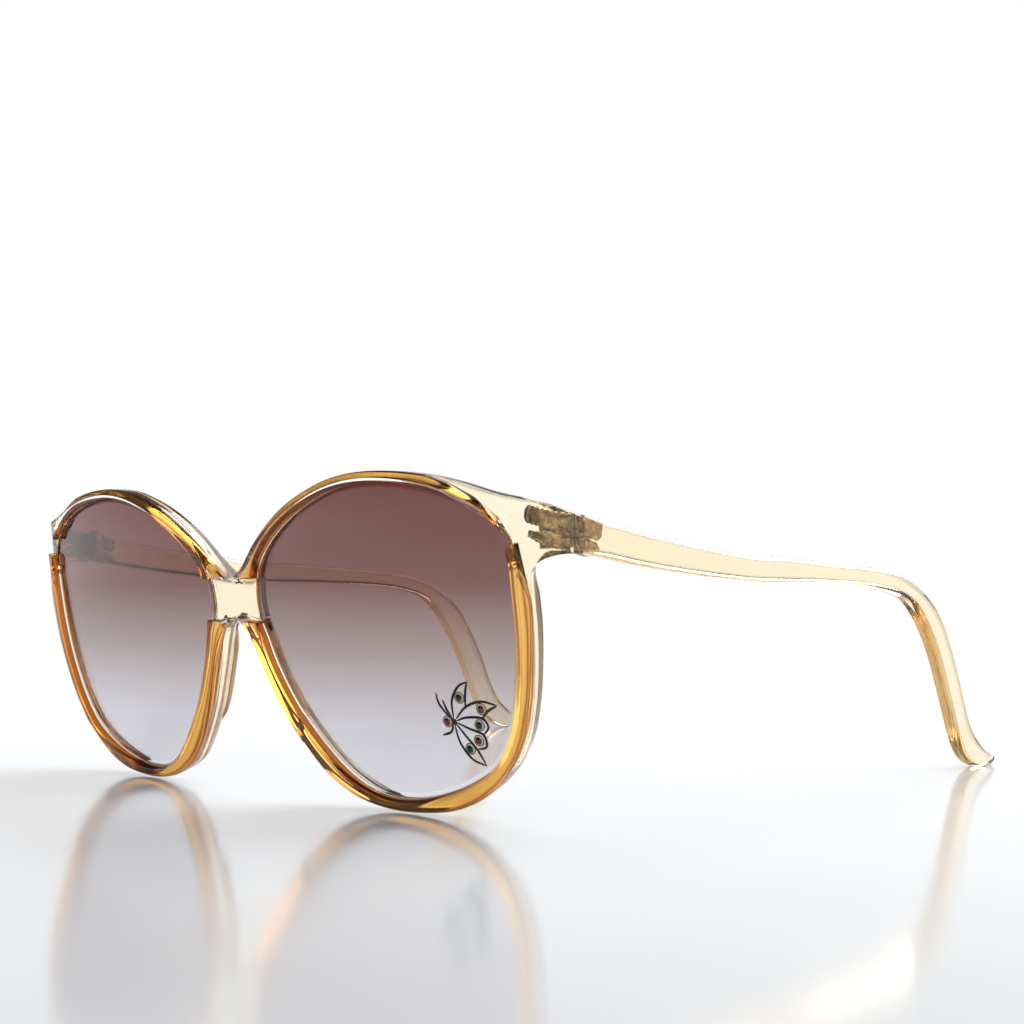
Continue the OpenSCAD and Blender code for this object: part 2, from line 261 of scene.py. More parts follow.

# %% [markdown]
# ## Outlines
# The opening takes the lens. The outer edge runs from the V of the bridge over the brow, along
# the top of the endpiece to the hinge, back under it and round the rim to the lower V. Both are
# drawn on the front's own u and v, closer together where the outline turns faster.

# %% Outline points
OPENING = [(7.3, 1.2), (6.9, 5.2), (8, 9.6), (11.4, 13.5), (16.4, 17), (22.8, 20.2), (30.2, 22.6),
           (38, 23.5), (46, 22.9), (53.5, 21.2), (59.8, 18.7), (64.2, 15.6), (65.8, 11.2),
           (65.9, 5.2), (65.6, -1.6), (64.5, -8.6), (62.2, -15.6), (58.4, -21.2), (53, -24.5),
           (46.4, -26.9), (39, -28.3), (31.6, -27.8), (24.9, -24.6), (19, -19.2), (14.2, -13.3),
           (10.6, -6.9), (8.5, -1.8)]
BROW = [(0, 8.1), (1.9, 9), (4.9, 11.4), (8.6, 14.7), (13.3, 18), (18.4, 20.8), (24.2, 23),
        (30.2, 24.6), (36.6, 25.3), (43.6, 25.1), (50.3, 24.2), (56.5, 22.7), (62.4, 20.8),
        (66.6, 19.7), (71, 18.7), (75.2, 17.5), (81.2, 15.2)]
UNDER = [(80.2, 9.4), (77, 10), (73.8, 10.1), (71.2, 9.5), (69.6, 7.9), (69, 4.4), (68.8, 0),
         (68, -5.6), (66.6, -11.6), (64.2, -17.6), (60.3, -22.7), (54.8, -26.9), (48, -29.5),
         (40.6, -30.35), (33.4, -30.2), (26.6, -28.8), (20.8, -25.9), (16.2, -21.8),
         (12.7, -17.4), (10, -13.2), (7.9, -9.2), (6.1, -5.4), (4.4, -2), (2.4, 0.4), (0, 1.2)]
LENS_CENTRE = np.array([36.5, -2.0])

opening = spline(OPENING, 40, closed=True)
opening_angle = np.degrees(np.arctan2(opening[:, 1] - LENS_CENTRE[1], opening[:, 0] - LENS_CENTRE[0]))
order = np.argsort(opening_angle)


def on_opening(angle):
    """Point of the opening in the direction angle (degrees) from the lens centre."""
    angle = (np.asarray(angle, float) + 180) % 360 - 180
    return np.stack([np.interp(angle, opening_angle[order], opening[order, k], period=360)
                     for k in range(2)], axis=-1)


def angle_of(points):
    """Direction of each point from the lens centre, unwound clockwise from the bridge."""
    d = np.asarray(points, float) - LENS_CENTRE
    return np.degrees(np.unwrap(np.arctan2(d[:, 1], d[:, 0])))


print("opening", np.round(np.ptp(opening, axis=0), 1), "mm")

# %% [markdown]
# ## Plates with soft edges
# Acetate sheet is cut and then tumbled, so no edge stays sharp. Each plate is a strip between two
# curves: its front and back faces span from one curve to the other, and a rounded edge runs down
# each side. The strip is a grid of stations along it and columns around its cross-section. A
# bevel on an extruded outline is the quick way, but breaks where the outline turns tightly.


# %% Strip helpers
def even_stations(curve, count, turn_weight=3.0):
    """Points along a polyline at even steps of length plus turn_weight times the angle turned."""
    step = np.diff(curve, axis=0)
    length = np.linalg.norm(step, axis=1)
    heading = np.unwrap(np.arctan2(step[:, 1], step[:, 0]))
    turn = np.abs(np.diff(heading, prepend=heading[0]))
    reach = np.concatenate([[0], np.cumsum(length + turn_weight * turn)])
    at = np.linspace(0, reach[-1], count)
    return np.stack([np.interp(at, reach, curve[:, k]) for k in range(2)], axis=1)


def softened(curve, width, spacing=0.03):
    """The polyline with its corners rounded by a moving average over width millimetres."""
    length = np.linalg.norm(np.diff(curve, axis=0), axis=1).sum()
    fine = resampled(curve, int(length / spacing))
    half = max(int(width / spacing / 2), 1)
    padded = np.vstack([2 * fine[:1] - fine[half:0:-1], fine, 2 * fine[-1:] - fine[-2:-half - 2:-1]])
    kernel = np.ones(2 * half + 1) / (2 * half + 1)
    out = np.stack([np.convolve(padded[:, k], kernel, mode="valid") for k in range(2)], axis=1)
    out[0], out[-1] = curve[0], curve[-1]
    return out


def edge_columns(w0, w1, r0, r1, arcs=5, groove=(), reach=None):
    """Inset and depth of the columns over one edge: a quarter circle of radius r0 off the front face
    at w0, or an ellipse that reaches further in, the wall with its groove, and a quarter circle of
    radius r1 onto the back face at w1."""
    a = np.linspace(0, math.pi / 2, arcs)
    reach = r0 if reach is None else reach
    w0, w1, r0, r1, reach = (np.atleast_1d(np.asarray(x, float))[:, None] for x in (w0, w1, r0, r1, reach))
    rows = max(len(w0), len(w1), len(r0), len(r1), len(reach))
    front = (reach * (1 - np.sin(a)), w0 + r0 * (1 - np.cos(a)))
    back = (r1 * (1 - np.sin(a[::-1])), w1 - r1 * (1 - np.cos(a[::-1])))
    if len(groove):
        cut = np.asarray(groove, float)
        wall = (np.broadcast_to(cut[:, 0], (rows, len(cut))), np.broadcast_to(cut[:, 1], (rows, len(cut))))
    else:
        thirds = np.array([0.33, 0.67])
        wall = (np.zeros((rows, 2)), (w0 + r0) * (1 - thirds) + (w1 - r1) * thirds)
    return tuple(np.hstack([np.broadcast_to(part[k], (rows, part[k].shape[1]))
                            for part in (front, wall, back)]) for k in range(2))


def strip(outer, outer_out, inner, inner_out, outer_edge, inner_edge, across=12):
    """Columns around the section of a strip, as (u, v, w): over the outer edge from front to back,
    along the back face, over the inner edge from back to front, and along the front face."""
    (outer_inset, outer_w), (inner_inset, inner_w) = outer_edge, inner_edge
    over = outer[:, None, :] - outer_out[:, None, :] * outer_inset[..., None]
    under = (inner[:, None, :] - inner_out[:, None, :] * inner_inset[..., None])[:, ::-1]
    outer_side = with_depth(over, outer_w)
    inner_side = with_depth(under, inner_w[:, ::-1])
    t = np.linspace(0, 1, across + 2)[None, 1:-1, None]
    back = outer_side[:, -1:] * (1 - t) + inner_side[:, :1] * t
    front = inner_side[:, -1:] * (1 - t) + outer_side[:, :1] * t
    return np.concatenate([outer_side, back, inner_side, front], axis=1), outer_side.shape[1]


# %% [markdown]
# ## The clear base
# One sheet of pale champagne acetate makes the whole front, with an endpiece at each side that
# turns the corner towards the hinge. The groove round the opening holds the lens. The outer edge
# is a strip's outer curve, the opening is its inner curve, and at the bridge the strip ends on
# the middle plane, where its mirror image takes over. So the real sheet's one skin is kept, which
# light needs to pass through it without an inner wall.

# %% Base sizes and the joint
TINT_T = 1.2  # dark layer
BACK_W = 4.2  # dark layer and base together
LAP = 0.01  # how far bonded pieces reach into each other
LENS_W0, LENS_W1 = 1.5, 3.1  # lens, from face to back
LENS_V = (LENS_W0 + LENS_W1) / 2  # the bottom of its groove
JOINT_Y = 13.6  # where the temple meets the endpiece
SIDE_MM = 4.1  # the turned endpiece, from side to side


def joint_u(v):
    """Where the joint's upright plane y = JOINT_Y crosses height v on the turned endpiece."""
    y = (JOINT_Y + v * math.sin(LEAN)) / math.cos(LEAN)
    return CORNER_U + corner_arc + y - corner_centre_y - (DOME_R - math.sqrt(DOME_R**2 - v * v))


BROW[-1] = (joint_u(15.2), 15.2)
UNDER[0] = (joint_u(9.4), 9.4)
print("joint at u", np.round([BROW[-1][0], UNDER[0][0]], 2), "mm")

# %% Outer edge of the base
CORNER_SOFT = 0.7
STATIONS = 560
BRIDGE_TOP, BRIDGE_LOW = 8.1, 1.2
brow_line = spline(BROW, 24, mirror_start=True)
under_line = spline(UNDER, 24, mirror_end=True)
outer_line = softened(np.vstack([brow_line, under_line]), CORNER_SOFT)
outer_line[0], outer_line[-1] = (0, BRIDGE_TOP), (0, BRIDGE_LOW)
outer_at = even_stations(outer_line, STATIONS)
print("outer edge", round(float(np.linalg.norm(np.diff(outer_line, axis=0), axis=1).sum()), 1), "mm a side")

# %% Mates across the strip
# Points on the outer edge with the direction of the opening's point opposite, or None for their own.
MATES = [((0, BRIDGE_TOP), None), ((62.4, 20.8), None), ((66.6, 19.7), 35.8), ((71, 18.7), 33),
         ((75.2, 17.5), 31), (BROW[-1], 29), (UNDER[0], 27), ((77, 10), 25.5), ((73.8, 10.1), 24),
         ((71.2, 9.5), 22), ((69.6, 7.9), 19), ((69, 4.4), 11.1), ((0, BRIDGE_LOW), None)]


def mate_angles(stations):
    """Angle of each station's mate: its own direction, or between the joint's knots one that keeps
    the strip's cross lines from crossing."""
    own = angle_of(stations)
    knots, values = [], []
    for point, angle in MATES:
        if angle is not None:
            knots.append(int(np.argmin(np.linalg.norm(stations - np.array(point), axis=1))))
            values.append(angle)
    inside = np.arange(knots[0], knots[-1] + 1)
    own[inside] = np.interp(inside, knots, values)
    return own


def opening_out(angle):
    """Unit normal of the opening's edge in the direction angle, pointing into the lens."""
    a, b = on_opening(angle + 0.4), on_opening(angle - 0.4)
    along = b - a
    along /= np.linalg.norm(along, axis=-1, keepdims=True)
    side = np.stack([along[:, 1], -along[:, 0]], axis=1)
    towards = LENS_CENTRE - on_opening(angle)
    return side * np.sign((side * towards).sum(axis=1, keepdims=True))


# %% Base strip
BRIDGE_ROWS = 14
GROOVE_DEEP, GROOVE_LIP, GROOVE_SOFT, V_FLAT = 0.62, 0.06, 0.05, 0.04
GROOVE = [(0, LENS_W0 - GROOVE_LIP), (GROOVE_SOFT, LENS_W0), (GROOVE_DEEP, LENS_V - V_FLAT),
          (GROOVE_DEEP, LENS_V + V_FLAT), (GROOVE_SOFT, LENS_W1), (0, LENS_W1 + GROOVE_LIP)]
BARE_U, BARE_V = (52, 56), (12.5, 14)
CRISP_R, TUMBLED_MORE = 0.03, 0.45
BACK_R, OPENING_FRONT_R, OPENING_BACK_R = 0.55, 0.1, 0.4
ENDPIECE_U, ENDPIECE_V = (68, 76), (3, 8)

outer_side = -normals_of(outer_at)
outer_side[0], outer_side[-1] = (0, 1), (0, -1)
angles = mate_angles(outer_at)
bridge_v = np.linspace(BRIDGE_LOW, BRIDGE_TOP, BRIDGE_ROWS + 2)[1:-1]
bridge = np.stack([np.zeros(BRIDGE_ROWS), bridge_v], axis=1)
bridge_angles = np.linspace(angles[-1], angles[0] - 360, BRIDGE_ROWS + 2)[1:-1]
all_outer = np.vstack([outer_at, bridge])
all_out = np.vstack([outer_side, np.zeros((BRIDGE_ROWS, 2))])
all_angles = np.concatenate([angles, bridge_angles])

bare = smoothstep(*BARE_U, all_outer[:, 0]) * smoothstep(*BARE_V, all_outer[:, 1])
outer_edge = edge_columns(TINT_T - LAP, BACK_W, CRISP_R + TUMBLED_MORE * bare, BACK_R)
inner_edge = edge_columns(TINT_T - LAP, BACK_W, OPENING_FRONT_R, OPENING_BACK_R, groove=GROOVE)
inner_edge = tuple(np.broadcast_to(part, (len(all_outer), part.shape[1])) for part in inner_edge)
base_uvw, wall_columns = strip(all_outer, all_out, on_opening(all_angles), opening_out(all_angles),
                               outer_edge, inner_edge, across=14)
turned_back = smoothstep(*ENDPIECE_U, base_uvw[..., 0]) * smoothstep(*ENDPIECE_V, base_uvw[..., 1])
deeper = (SIDE_MM - (BACK_W - TINT_T)) * turned_back
base_uvw[..., 2] += deeper * (base_uvw[..., 2] - TINT_T) / (BACK_W - TINT_T)
rows, columns = base_uvw.shape[:2]
base_faces = grid_faces(rows, columns, True, True).reshape(rows, columns, 4)
keep = np.ones((rows, columns), bool)
keep[STATIONS - 1:, :wall_columns - 1] = False
base_half = (placed(base_uvw).reshape(-1, 3), base_faces[keep])
base = mesh_piece("clear_base", joined(base_half, mirrored(base_half)))

# %% [markdown]
# ## The dark layer
# A thinner sheet of dark amber is bonded to the face of the base and cut into four pieces: one
# along each brow and one round each rim. Each piece is a strip whose ends close on themselves.
# It reaches a hair into the base, so that light passes from one into the other without an air
# gap, as it does through a bonded joint. A colour on the base's face would look the same from the
# front, but not from the side, where the two sheets show one behind the other.

# %% Dark layer sizes
BROW_LEAVES_EDGE = (51.6, 23.95)  # beyond it the brow's piece tapers away from the base's edge
BROW_TAPER = [(54.8, 22.9), (57.8, 21.5), (61, 19.7), (63.4, 17.6)]
BROW_TIP = [(63.4, 17.6), (64.1, 16.8), (64.5, 16.1), (64.3, 15.5)]
WINDOW_TOP, WINDOW_BOTTOM = 8.3, 1.0
CAP_R = 0.34
BROW_ROUNDINGS = [(0.95, 0.45, 1.5), (0.8, 0.35, 0.8)]
RIM_ROUNDINGS = [(0.85, 0.35, 0.85), (0.9, 0.35, 0.9)]
RIM = [(67.75, 12.9), (68.45, 8.8), (69, 4.4)] + UNDER[6:]
RIM_TOP_INNER = (65.7, 11.9)
CAP_FADE = 3.0
print("dark layer", TINT_T, "mm thick, window", round(WINDOW_TOP - WINDOW_BOTTOM, 1), "mm")


# %% Dark layer helpers
def loop_normals(loop):
    """Outward unit normals of a closed loop."""
    step = np.roll(loop, -1, axis=0) - np.roll(loop, 1, axis=0)
    step /= np.maximum(np.linalg.norm(step, axis=1, keepdims=True), 1e-9)
    area = (loop[:, 0] * np.roll(loop[:, 1], -1) - np.roll(loop[:, 0], -1) * loop[:, 1]).sum()
    return np.stack([step[:, 1], -step[:, 0]], axis=1) * (1 if area > 0 else -1)


def soft_loop(loop, width, spacing=0.03):
    """A closed polyline with its corners rounded by a moving average over width millimetres."""
    closed = np.vstack([loop, loop[:1]])
    length = np.linalg.norm(np.diff(closed, axis=0), axis=1).sum()
    fine = resampled(closed, int(length / spacing))[:-1]
    half = int(width / spacing / 2)
    kernel = np.ones(2 * half + 1) / (2 * half + 1)
    around = np.vstack([fine[-half:], fine, fine[:half]])
    return np.stack([np.convolve(around[:, k], kernel, mode="valid") for k in range(2)], axis=1)


def piece_of_strip(outer_path, inner_angles, start_cap, end_cap, roundings, count):
    """A strip between outer_path and the opening, with a cap curve at each end, as a closed plate.
    The outline is one loop, rounded at its corners and cut at the middle of each cap into an outer
    and an inner side with the same number of stations. Roundings give, for either side, the depth
    of its front edge's curve, its reach as a share of the width, and the most it reaches."""
    inner_path = on_opening(np.linspace(inner_angles[0], inner_angles[1], 900))
    loop = np.vstack([outer_path, end_cap, inner_path[::-1], start_cap[::-1]])
    loop = soft_loop(loop, CORNER_SOFT)
    start_mid, end_mid = (cap[len(cap) // 2] for cap in (start_cap, end_cap))
    i0 = int(np.argmin(np.linalg.norm(loop - start_mid, axis=1)))
    loop = np.roll(loop, -i0, axis=0)
    i1 = int(np.argmin(np.linalg.norm(loop - end_mid, axis=1)))
    one, two = loop[:i1 + 1], np.vstack([loop[i1:], loop[:1]])[::-1]
    outer = one if np.linalg.norm(one[len(one) // 2] - LENS_CENTRE) > np.linalg.norm(
        two[len(two) // 2] - LENS_CENTRE) else two
    inner = two if outer is one else one
    outer, inner = paired(outer, inner, count)
    out_o, out_i = side_normals(outer, LENS_CENTRE, True), side_normals(inner, LENS_CENTRE, False)
    out_o[0] = out_i[0] = end_normal(outer, inner, 0)
    out_o[-1] = out_i[-1] = end_normal(outer, inner, -1)
    width = np.linalg.norm(outer - inner, axis=1)
    edges = []
    for side, (deep, wide, most) in zip((outer, inner), roundings):
        rounding = main_share(side, start_cap, end_cap)
        depth = CAP_R + (deep - CAP_R) * rounding
        reach = CAP_R + (np.minimum(most, wide * width) - CAP_R) * rounding
        edges.append(edge_columns(np.zeros(count), TINT_T + LAP, depth, CRISP_R, arcs=9, reach=reach))
    uvw, _ = strip(outer, out_o, inner, out_i, *edges, across=8)
    to_inner, to_outer = (np.linalg.norm(uvw[..., :2] - side[:, None], axis=-1) for side in (inner, outer))
    share = to_inner / np.maximum(to_inner + to_outer, 1e-6)
    return placed(uvw).reshape(-1, 3), grid_faces(count, uvw.shape[1], False, True), share


def main_share(side, start_cap, end_cap):
    """0 on the caps of a strip's side, rising to 1 over the first CAP_FADE mm past them."""
    reach = np.concatenate([[0], np.cumsum(np.linalg.norm(np.diff(side, axis=0), axis=1))])
    caps = [np.linalg.norm(np.diff(cap, axis=0), axis=1).sum() / 2 for cap in (start_cap, end_cap)]
    return (smoothstep(caps[0], caps[0] + CAP_FADE, reach)
            * smoothstep(caps[1], caps[1] + CAP_FADE, reach[-1] - reach))


def paired(outer, inner, count):
    """Both sides at count stations. A station's share of the way is the same on both, by length with
    the turning added, so that the round ends get more of them."""
    return even_stations(outer, count, 1.5), even_stations(inner, count, 1.5)


def side_normals(curve, centre, away):
    """Normals of one side of a strip, pointing out of it. The sign is set at the middle of the side
    and carried along it."""
    n = normals_of(curve)
    mid = len(curve) // 2
    sign = np.sign((n[mid] * (curve[mid] - centre)).sum()) * (1 if away else -1)
    return n * sign


def end_normal(outer, inner, end):
    """Normal at a strip's closed end: from the middle of the next stations to the end point."""
    step = 3 if end == 0 else -4
    d = outer[end] - (outer[step] + inner[step]) / 2
    return d / np.linalg.norm(d)


def cut_between(path, start, stop):
    """The part of a polyline between its points nearest to start and stop."""
    i = int(np.argmin(np.linalg.norm(path - np.array(start), axis=1)))
    j = int(np.argmin(np.linalg.norm(path - np.array(stop), axis=1)))
    return path[i:j + 1]


def straight(a, b, count=60):
    """Evenly spaced points from a to b."""
    return np.linspace(a, b, count)


def window_angle(v):
    """Angle at which the nasal side of the opening is at height v."""
    angle = np.linspace(150, 180, 3001)
    return float(angle[np.argmin(np.abs(on_opening(angle)[:, 1] - v))])


# %% Brow pieces
brow_fine = resampled(brow_line, 6000)
brow_start = brow_fine[int(np.argmax(brow_fine[:, 1] > WINDOW_TOP))]
brow_path = cut_between(brow_fine, brow_start, BROW_LEAVES_EDGE)
brow_path = np.vstack([brow_path, spline(np.vstack([brow_path[-1:], BROW_TAPER]), 60)[1:]])
brow_a0 = window_angle(WINDOW_TOP)
tip = spline(BROW_TIP, 16)
brow_a1 = float(angle_of(np.array(BROW_TIP[-1:]))[0])
brow_part = piece_of_strip(brow_path, (brow_a0, brow_a1),
                           straight(brow_path[0], on_opening(np.array([brow_a0]))[0]), tip,
                           BROW_ROUNDINGS, 420)
brows = pair("amber_brow", brow_part[:2], marks={"across": brow_part[2]})

# %% Rim pieces
rim_fine = resampled(spline(RIM, 24, mirror_end=True), 8000)
below = rim_fine[:, 1] < WINDOW_BOTTOM
last_below = len(below) - 1 - int(np.argmax(below[::-1]))
rim_path = rim_fine[:last_below + 1]
rim_a0 = float(angle_of(np.array([RIM_TOP_INNER]))[0])
rim_a1 = window_angle(WINDOW_BOTTOM) - 360
rim_part = piece_of_strip(rim_path, (rim_a0, rim_a1),
                          straight(rim_path[0], on_opening(np.array([rim_a0]))[0]),
                          straight(rim_path[-1], on_opening(np.array([rim_a1]))[0]),
                          RIM_ROUNDINGS, 620)
rims = pair("amber_rim", rim_part[:2], marks={"across": rim_part[2]})

# %% [markdown]
# ## Lenses
# A lens is a thin domed disc with a V ground round its edge. Rings of points shrink from the
# edge to the lens centre on the front and on the back. A dome cut by the outline would do, but
# rings that follow the outline keep the ground edge clean, where it sits in the groove.


# %% Lenses
LENS_GROW = 0.6  # how far the ground edge reaches past the opening, into the groove
V_DEEP, V_SOFT = 0.57, 0.03
LENS_RINGS = 34
lens_angles = np.linspace(0, 360, 480, endpoint=False)
lens_out = -opening_out(lens_angles)
lens_edge = on_opening(lens_angles) + lens_out * LENS_GROW
shrink = np.linspace(1, 0, LENS_RINGS)


def ring(inset, w):
    """The lens outline moved inwards by inset, at depth w."""
    p = lens_edge - lens_out * inset
    return np.concatenate([p, np.full((len(p), 1), w)], axis=1)


edge_rings = [ring(V_DEEP, LENS_W0), ring(V_DEEP - V_FLAT, LENS_W0 + V_SOFT), ring(V_SOFT, LENS_V - V_FLAT),
              ring(0, LENS_V), ring(V_SOFT, LENS_V + V_FLAT), ring(V_DEEP - V_FLAT, LENS_W1 - V_SOFT),
              ring(V_DEEP, LENS_W1)]


def inward(base_ring, shares):
    """Copies of a ring, each moved a share of the way to the lens centre at the same depth."""
    centre = np.array([LENS_CENTRE[0], LENS_CENTRE[1], base_ring[0, 2]])
    return [centre + (base_ring - centre) * s for s in shares]


rings = inward(edge_rings[0], shrink[::-1][:-1]) + edge_rings + inward(edge_rings[-1], shrink[1:])
lens_uvw = np.stack(rings)
lens_part = (placed(lens_uvw).reshape(-1, 3), grid_faces(*lens_uvw.shape[:2], False, True))
lenses = pair("tinted_lens", lens_part)

# %% [markdown]
# ## Nose pads
# The pads are swellings of the same clear acetate on the back of the nasal rim. A pad is a
# rounded section carried along a short curve, and it shrinks to nothing at both ends. A stretched
# ball would be simpler, but couldn't follow the rim.

# %% Nose pads
PAD_CLOSING = 0.16  # share of the path over which either end closes
# Points of the path: u, v, half width and height of the section.
PAD = [(4.9, 1.6, 0.9, 0.4), (6.3, -3.8, 1.45, 0.75), (8.8, -9.2, 1.6, 0.9), (11.7, -14.4, 1.55, 0.85),
       (14.8, -18.9, 0.9, 0.45)]
pad_path = spline(PAD, 16)
pad_share = np.linspace(0, 1, len(pad_path))
from_end = np.clip(np.minimum(pad_share, 1 - pad_share) / PAD_CLOSING, 0, 1)
closing = np.sqrt(from_end * (2 - from_end))
pad_side = normals_of(pad_path[:, :2])
around = np.linspace(0, math.pi, 25)
half = (pad_path[:, 2] * closing)[:, None]
high = (pad_path[:, 3] * closing)[:, None]
pad_uv = pad_path[:, None, :2] + pad_side[:, None, :] * (half * np.cos(around))[..., None]
pad_uvw = with_depth(pad_uv, BACK_W - 2 * LAP + high * np.sin(around) ** 0.85)
pad_part = (placed(pad_uvw).reshape(-1, 3), grid_faces(len(pad_path), len(around), False, True))
pads = pair("nose_rest", pad_part)

# %% [markdown]
# ## Temples
# Each temple is one bar of the same clear acetate. Its side view is given by matched points along
# its upper and lower edge, its plan by the outer and inner side, and its section is a rectangle
# with round corners. A curve with a bevel would give one section all along, while the real bar
# grows thinner, bends down behind the ear and ends in a flat toe.

# %% Temple sizes
# Matched points in side view: y and z on the upper edge, then on the lower, y from the face.
TEMPLE = [(13.8, 47.25, 13.8, 41.7), (20, 46.3, 20, 40.8), (30, 44.6, 29.2, 39.4), (44, 42.6, 43.2, 37.9),
          (56, 41.2, 56, 36.9), (64, 41, 64, 36.7), (76, 40.1, 75.7, 36.4), (90, 39.2, 89, 35.7),
          (99, 38.1, 97.6, 34.6), (106, 35.9, 103.6, 32.8), (111.4, 32.8, 107.6, 29.7),
          (115.4, 29, 110.8, 25.9), (118.8, 23.8, 113.6, 21.4), (121.8, 18, 115.6, 17.4),
          (124.4, 12, 118.1, 12), (127, 7.4, 120.4, 7), (130.6, 4.2, 123.4, 2.7), (134, 2.5, 127.6, 0.4),
          (136, 1.6, 132.4, 0.03)]
# Both sides in plan: x from SIDE_X, and y.
OUTER_SIDE = [(0, 13.7), (0, 30), (-0.5, 60), (-1.4, 90), (-2.1, 110), (-3.4, 126), (-4.2, 138)]
INNER_SIDE = [(-4.1, 13.7), (-4.1, 30), (-4.2, 60), (-4.8, 90), (-5.4, 110), (-6.4, 126), (-7, 138)]
SIDE_X = 72.0  # the endpiece's outer side from the middle plane
TEMPLE_STATIONS = 300
ROOT_R, BAR_R, ROOT_EASE = 0.5, 1.15, 5.0  # corner radius at the root and on, and the change's length
TOE_R, TOE_LONG = 1.1, 0.75
ROOT_RINGS = [(0.3, 0.0), (0.18, 0.03), (0.06, 0.12), (0.0, 0.3)]  # inset and push of each
CORNERS = [(1, 1), (-1, 1), (-1, -1), (1, -1)]
outer_plan, inner_plan = spline(OUTER_SIDE, 16), spline(INNER_SIDE, 16)
print("temple", TEMPLE[-1][0] - TEMPLE[0][0], "mm long in side view")


# %% Temples
def bar_section(flat=4, arc=6):
    """Columns round a rectangle with round corners. Each has a share across (-1 or 1) and along the
    height (-1 to 1) for the centre of its corner arc, and the arc's own direction."""
    a = np.linspace(0, math.pi / 2, arc)
    share = np.linspace(1, -1, flat + 2)[1:-1]
    out = []
    for turn, (cx, cz) in enumerate(CORNERS):
        angle = a + turn * math.pi / 2
        out += [(cx, cz, math.cos(t), math.sin(t)) for t in angle]
        nx, nz = CORNERS[(turn + 1) % 4]
        out += [(cx * (1 + s) / 2 + nx * (1 - s) / 2, cz * (1 + s) / 2 + nz * (1 - s) / 2,
                 math.cos(angle[-1]), math.sin(angle[-1])) for s in share]
    return np.array(out)


def temple_rings():
    """Stations of the bar as rings of points, closed by a round end at the toe and a flat one at
    the hinge. At a station, x is the middle of both sides plus the section's share of half their
    distance, and the height share runs from the lower to the upper edge."""
    line = resampled(spline(TEMPLE, 20), TEMPLE_STATIONS)
    both_edges = np.cumsum(np.linalg.norm(np.diff(line, axis=0), axis=1))
    travel = np.concatenate([[0], both_edges]) / math.sqrt(2)
    radius = ROOT_R + (BAR_R - ROOT_R) * smoothstep(0, ROOT_EASE, travel)
    section = bar_section()
    top, low = line[:, :2], line[:, 2:]
    high = top - low
    height = np.linalg.norm(high, axis=1)
    up_dir = high / height[:, None]
    mid = (top + low) / 2
    forward = np.stack([up_dir[:, 1], -up_dir[:, 0]], axis=1)

    def one(index, inset, push):
        """One ring at a station, shrunk by inset and pushed along the bar."""
        r = max(min(radius[index], height[index] / 2) - inset, 0.02)
        half_h = height[index] / 2 - inset - r
        yz = (mid[index] + forward[index] * push)[None] + up_dir[index][None] * (
            section[:, 1] * half_h + section[:, 3] * r)[:, None]
        y = yz[:, 0]
        x_out = np.interp(y, outer_plan[:, 1], outer_plan[:, 0])
        x_in = np.interp(y, inner_plan[:, 1], inner_plan[:, 0])
        half_t = (x_out - x_in) / 2 - inset - r
        x = SIDE_X + (x_out + x_in) / 2 + section[:, 0] * half_t + section[:, 2] * r
        return np.stack([x, y, yz[:, 1]], axis=1)

    body = [one(i, 0, 0) for i in range(1, len(line))]
    start = [one(0, inset, push) for inset, push in ROOT_RINGS]
    centre = start[0].mean(axis=0)
    start = [centre + (start[0] - centre) * s for s in (0.0, 0.5)] + start
    turn = np.linspace(0, math.pi / 2, 8)[1:]
    end = [one(-1, min(TOE_R * (1 - math.cos(t)), 0.98 * TOE_R), TOE_R * TOE_LONG * math.sin(t))
           for t in turn]
    centre = end[-1].mean(axis=0)
    end += [centre + (end[-1] - centre) * s for s in (0.5, 0.0)]
    return np.stack(start + body + end)


temple_points = temple_rings()
temple_points[..., 1] -= MIDDLE_Y
temple_points[..., 2] = np.maximum(temple_points[..., 2], 0.0)
temple_part = (temple_points.reshape(-1, 3), grid_faces(*temple_points.shape[:2], False, True))
temples = pair("clear_temple", temple_part)

# %% [markdown]
# ## Hinges
# A hinge of this age is a stack of five barrels on one screw, three on the endpiece's leaf and two
# on the temple's. Each leaf is a plate with two toothed tangs, which are pressed hot into the
# plastic and show through it. Plates and tangs are outlines given a thickness and a small bevel,
# and barrels and screw are profiles turned round the axis, as a lathe would cut them. Boxes and
# cylinders would do from afar, but the clear plastic puts these parts on show.


# %% Hinge helpers
INNER_X = SIDE_X - SIDE_MM
AXIS_X, AXIS_Y = INNER_X - 1.7, 13.7
BARREL_R, BARREL_H, BARREL_PITCH = 1.25, 0.9, 0.96
BARREL_Z = 42.4  # underside of the lowest barrel
STACK_TOP = BARREL_Z + 5 * BARREL_PITCH - 0.06
BORE_R, SCREW_R, HEAD_R, SLOT_HALF = 0.62, 0.6, 1.05, 0.15
LEAF_LONG, LEAF_T, LEAF_GAP = 3.4, 0.8, 0.2
TANG_LEAN = math.radians(-12)
TOOTH = 0.16


def slab(outline, low, high, bevel, axes):
    """A flat outline between two levels, with its edges bevelled. Rings of the outline, drawn in by
    the bevel at both ends, are closed with fans; axes says which coordinates the three values are."""
    outline = np.asarray(outline, float)
    centre = outline.mean(axis=0)
    n = loop_normals(outline)
    rings = []
    for inset, level in ((bevel, low), (0, low + bevel), (0, high - bevel), (bevel, high)):
        flat = outline - n * inset
        rings.append(np.column_stack([flat, np.full(len(flat), level)]))
    for at, index in ((0, 0), (len(rings) + 1, -1)):
        rings.insert(at, np.column_stack([np.tile(centre, (len(outline), 1)),
                                          np.full(len(outline), rings[index][0, 2])]))
    points = np.stack(rings)
    placed_points = np.empty_like(points)
    for source, target in enumerate(axes):
        placed_points[..., target] = points[..., source]
    return placed_points.reshape(-1, 3), grid_faces(len(rings), len(outline), False, True)


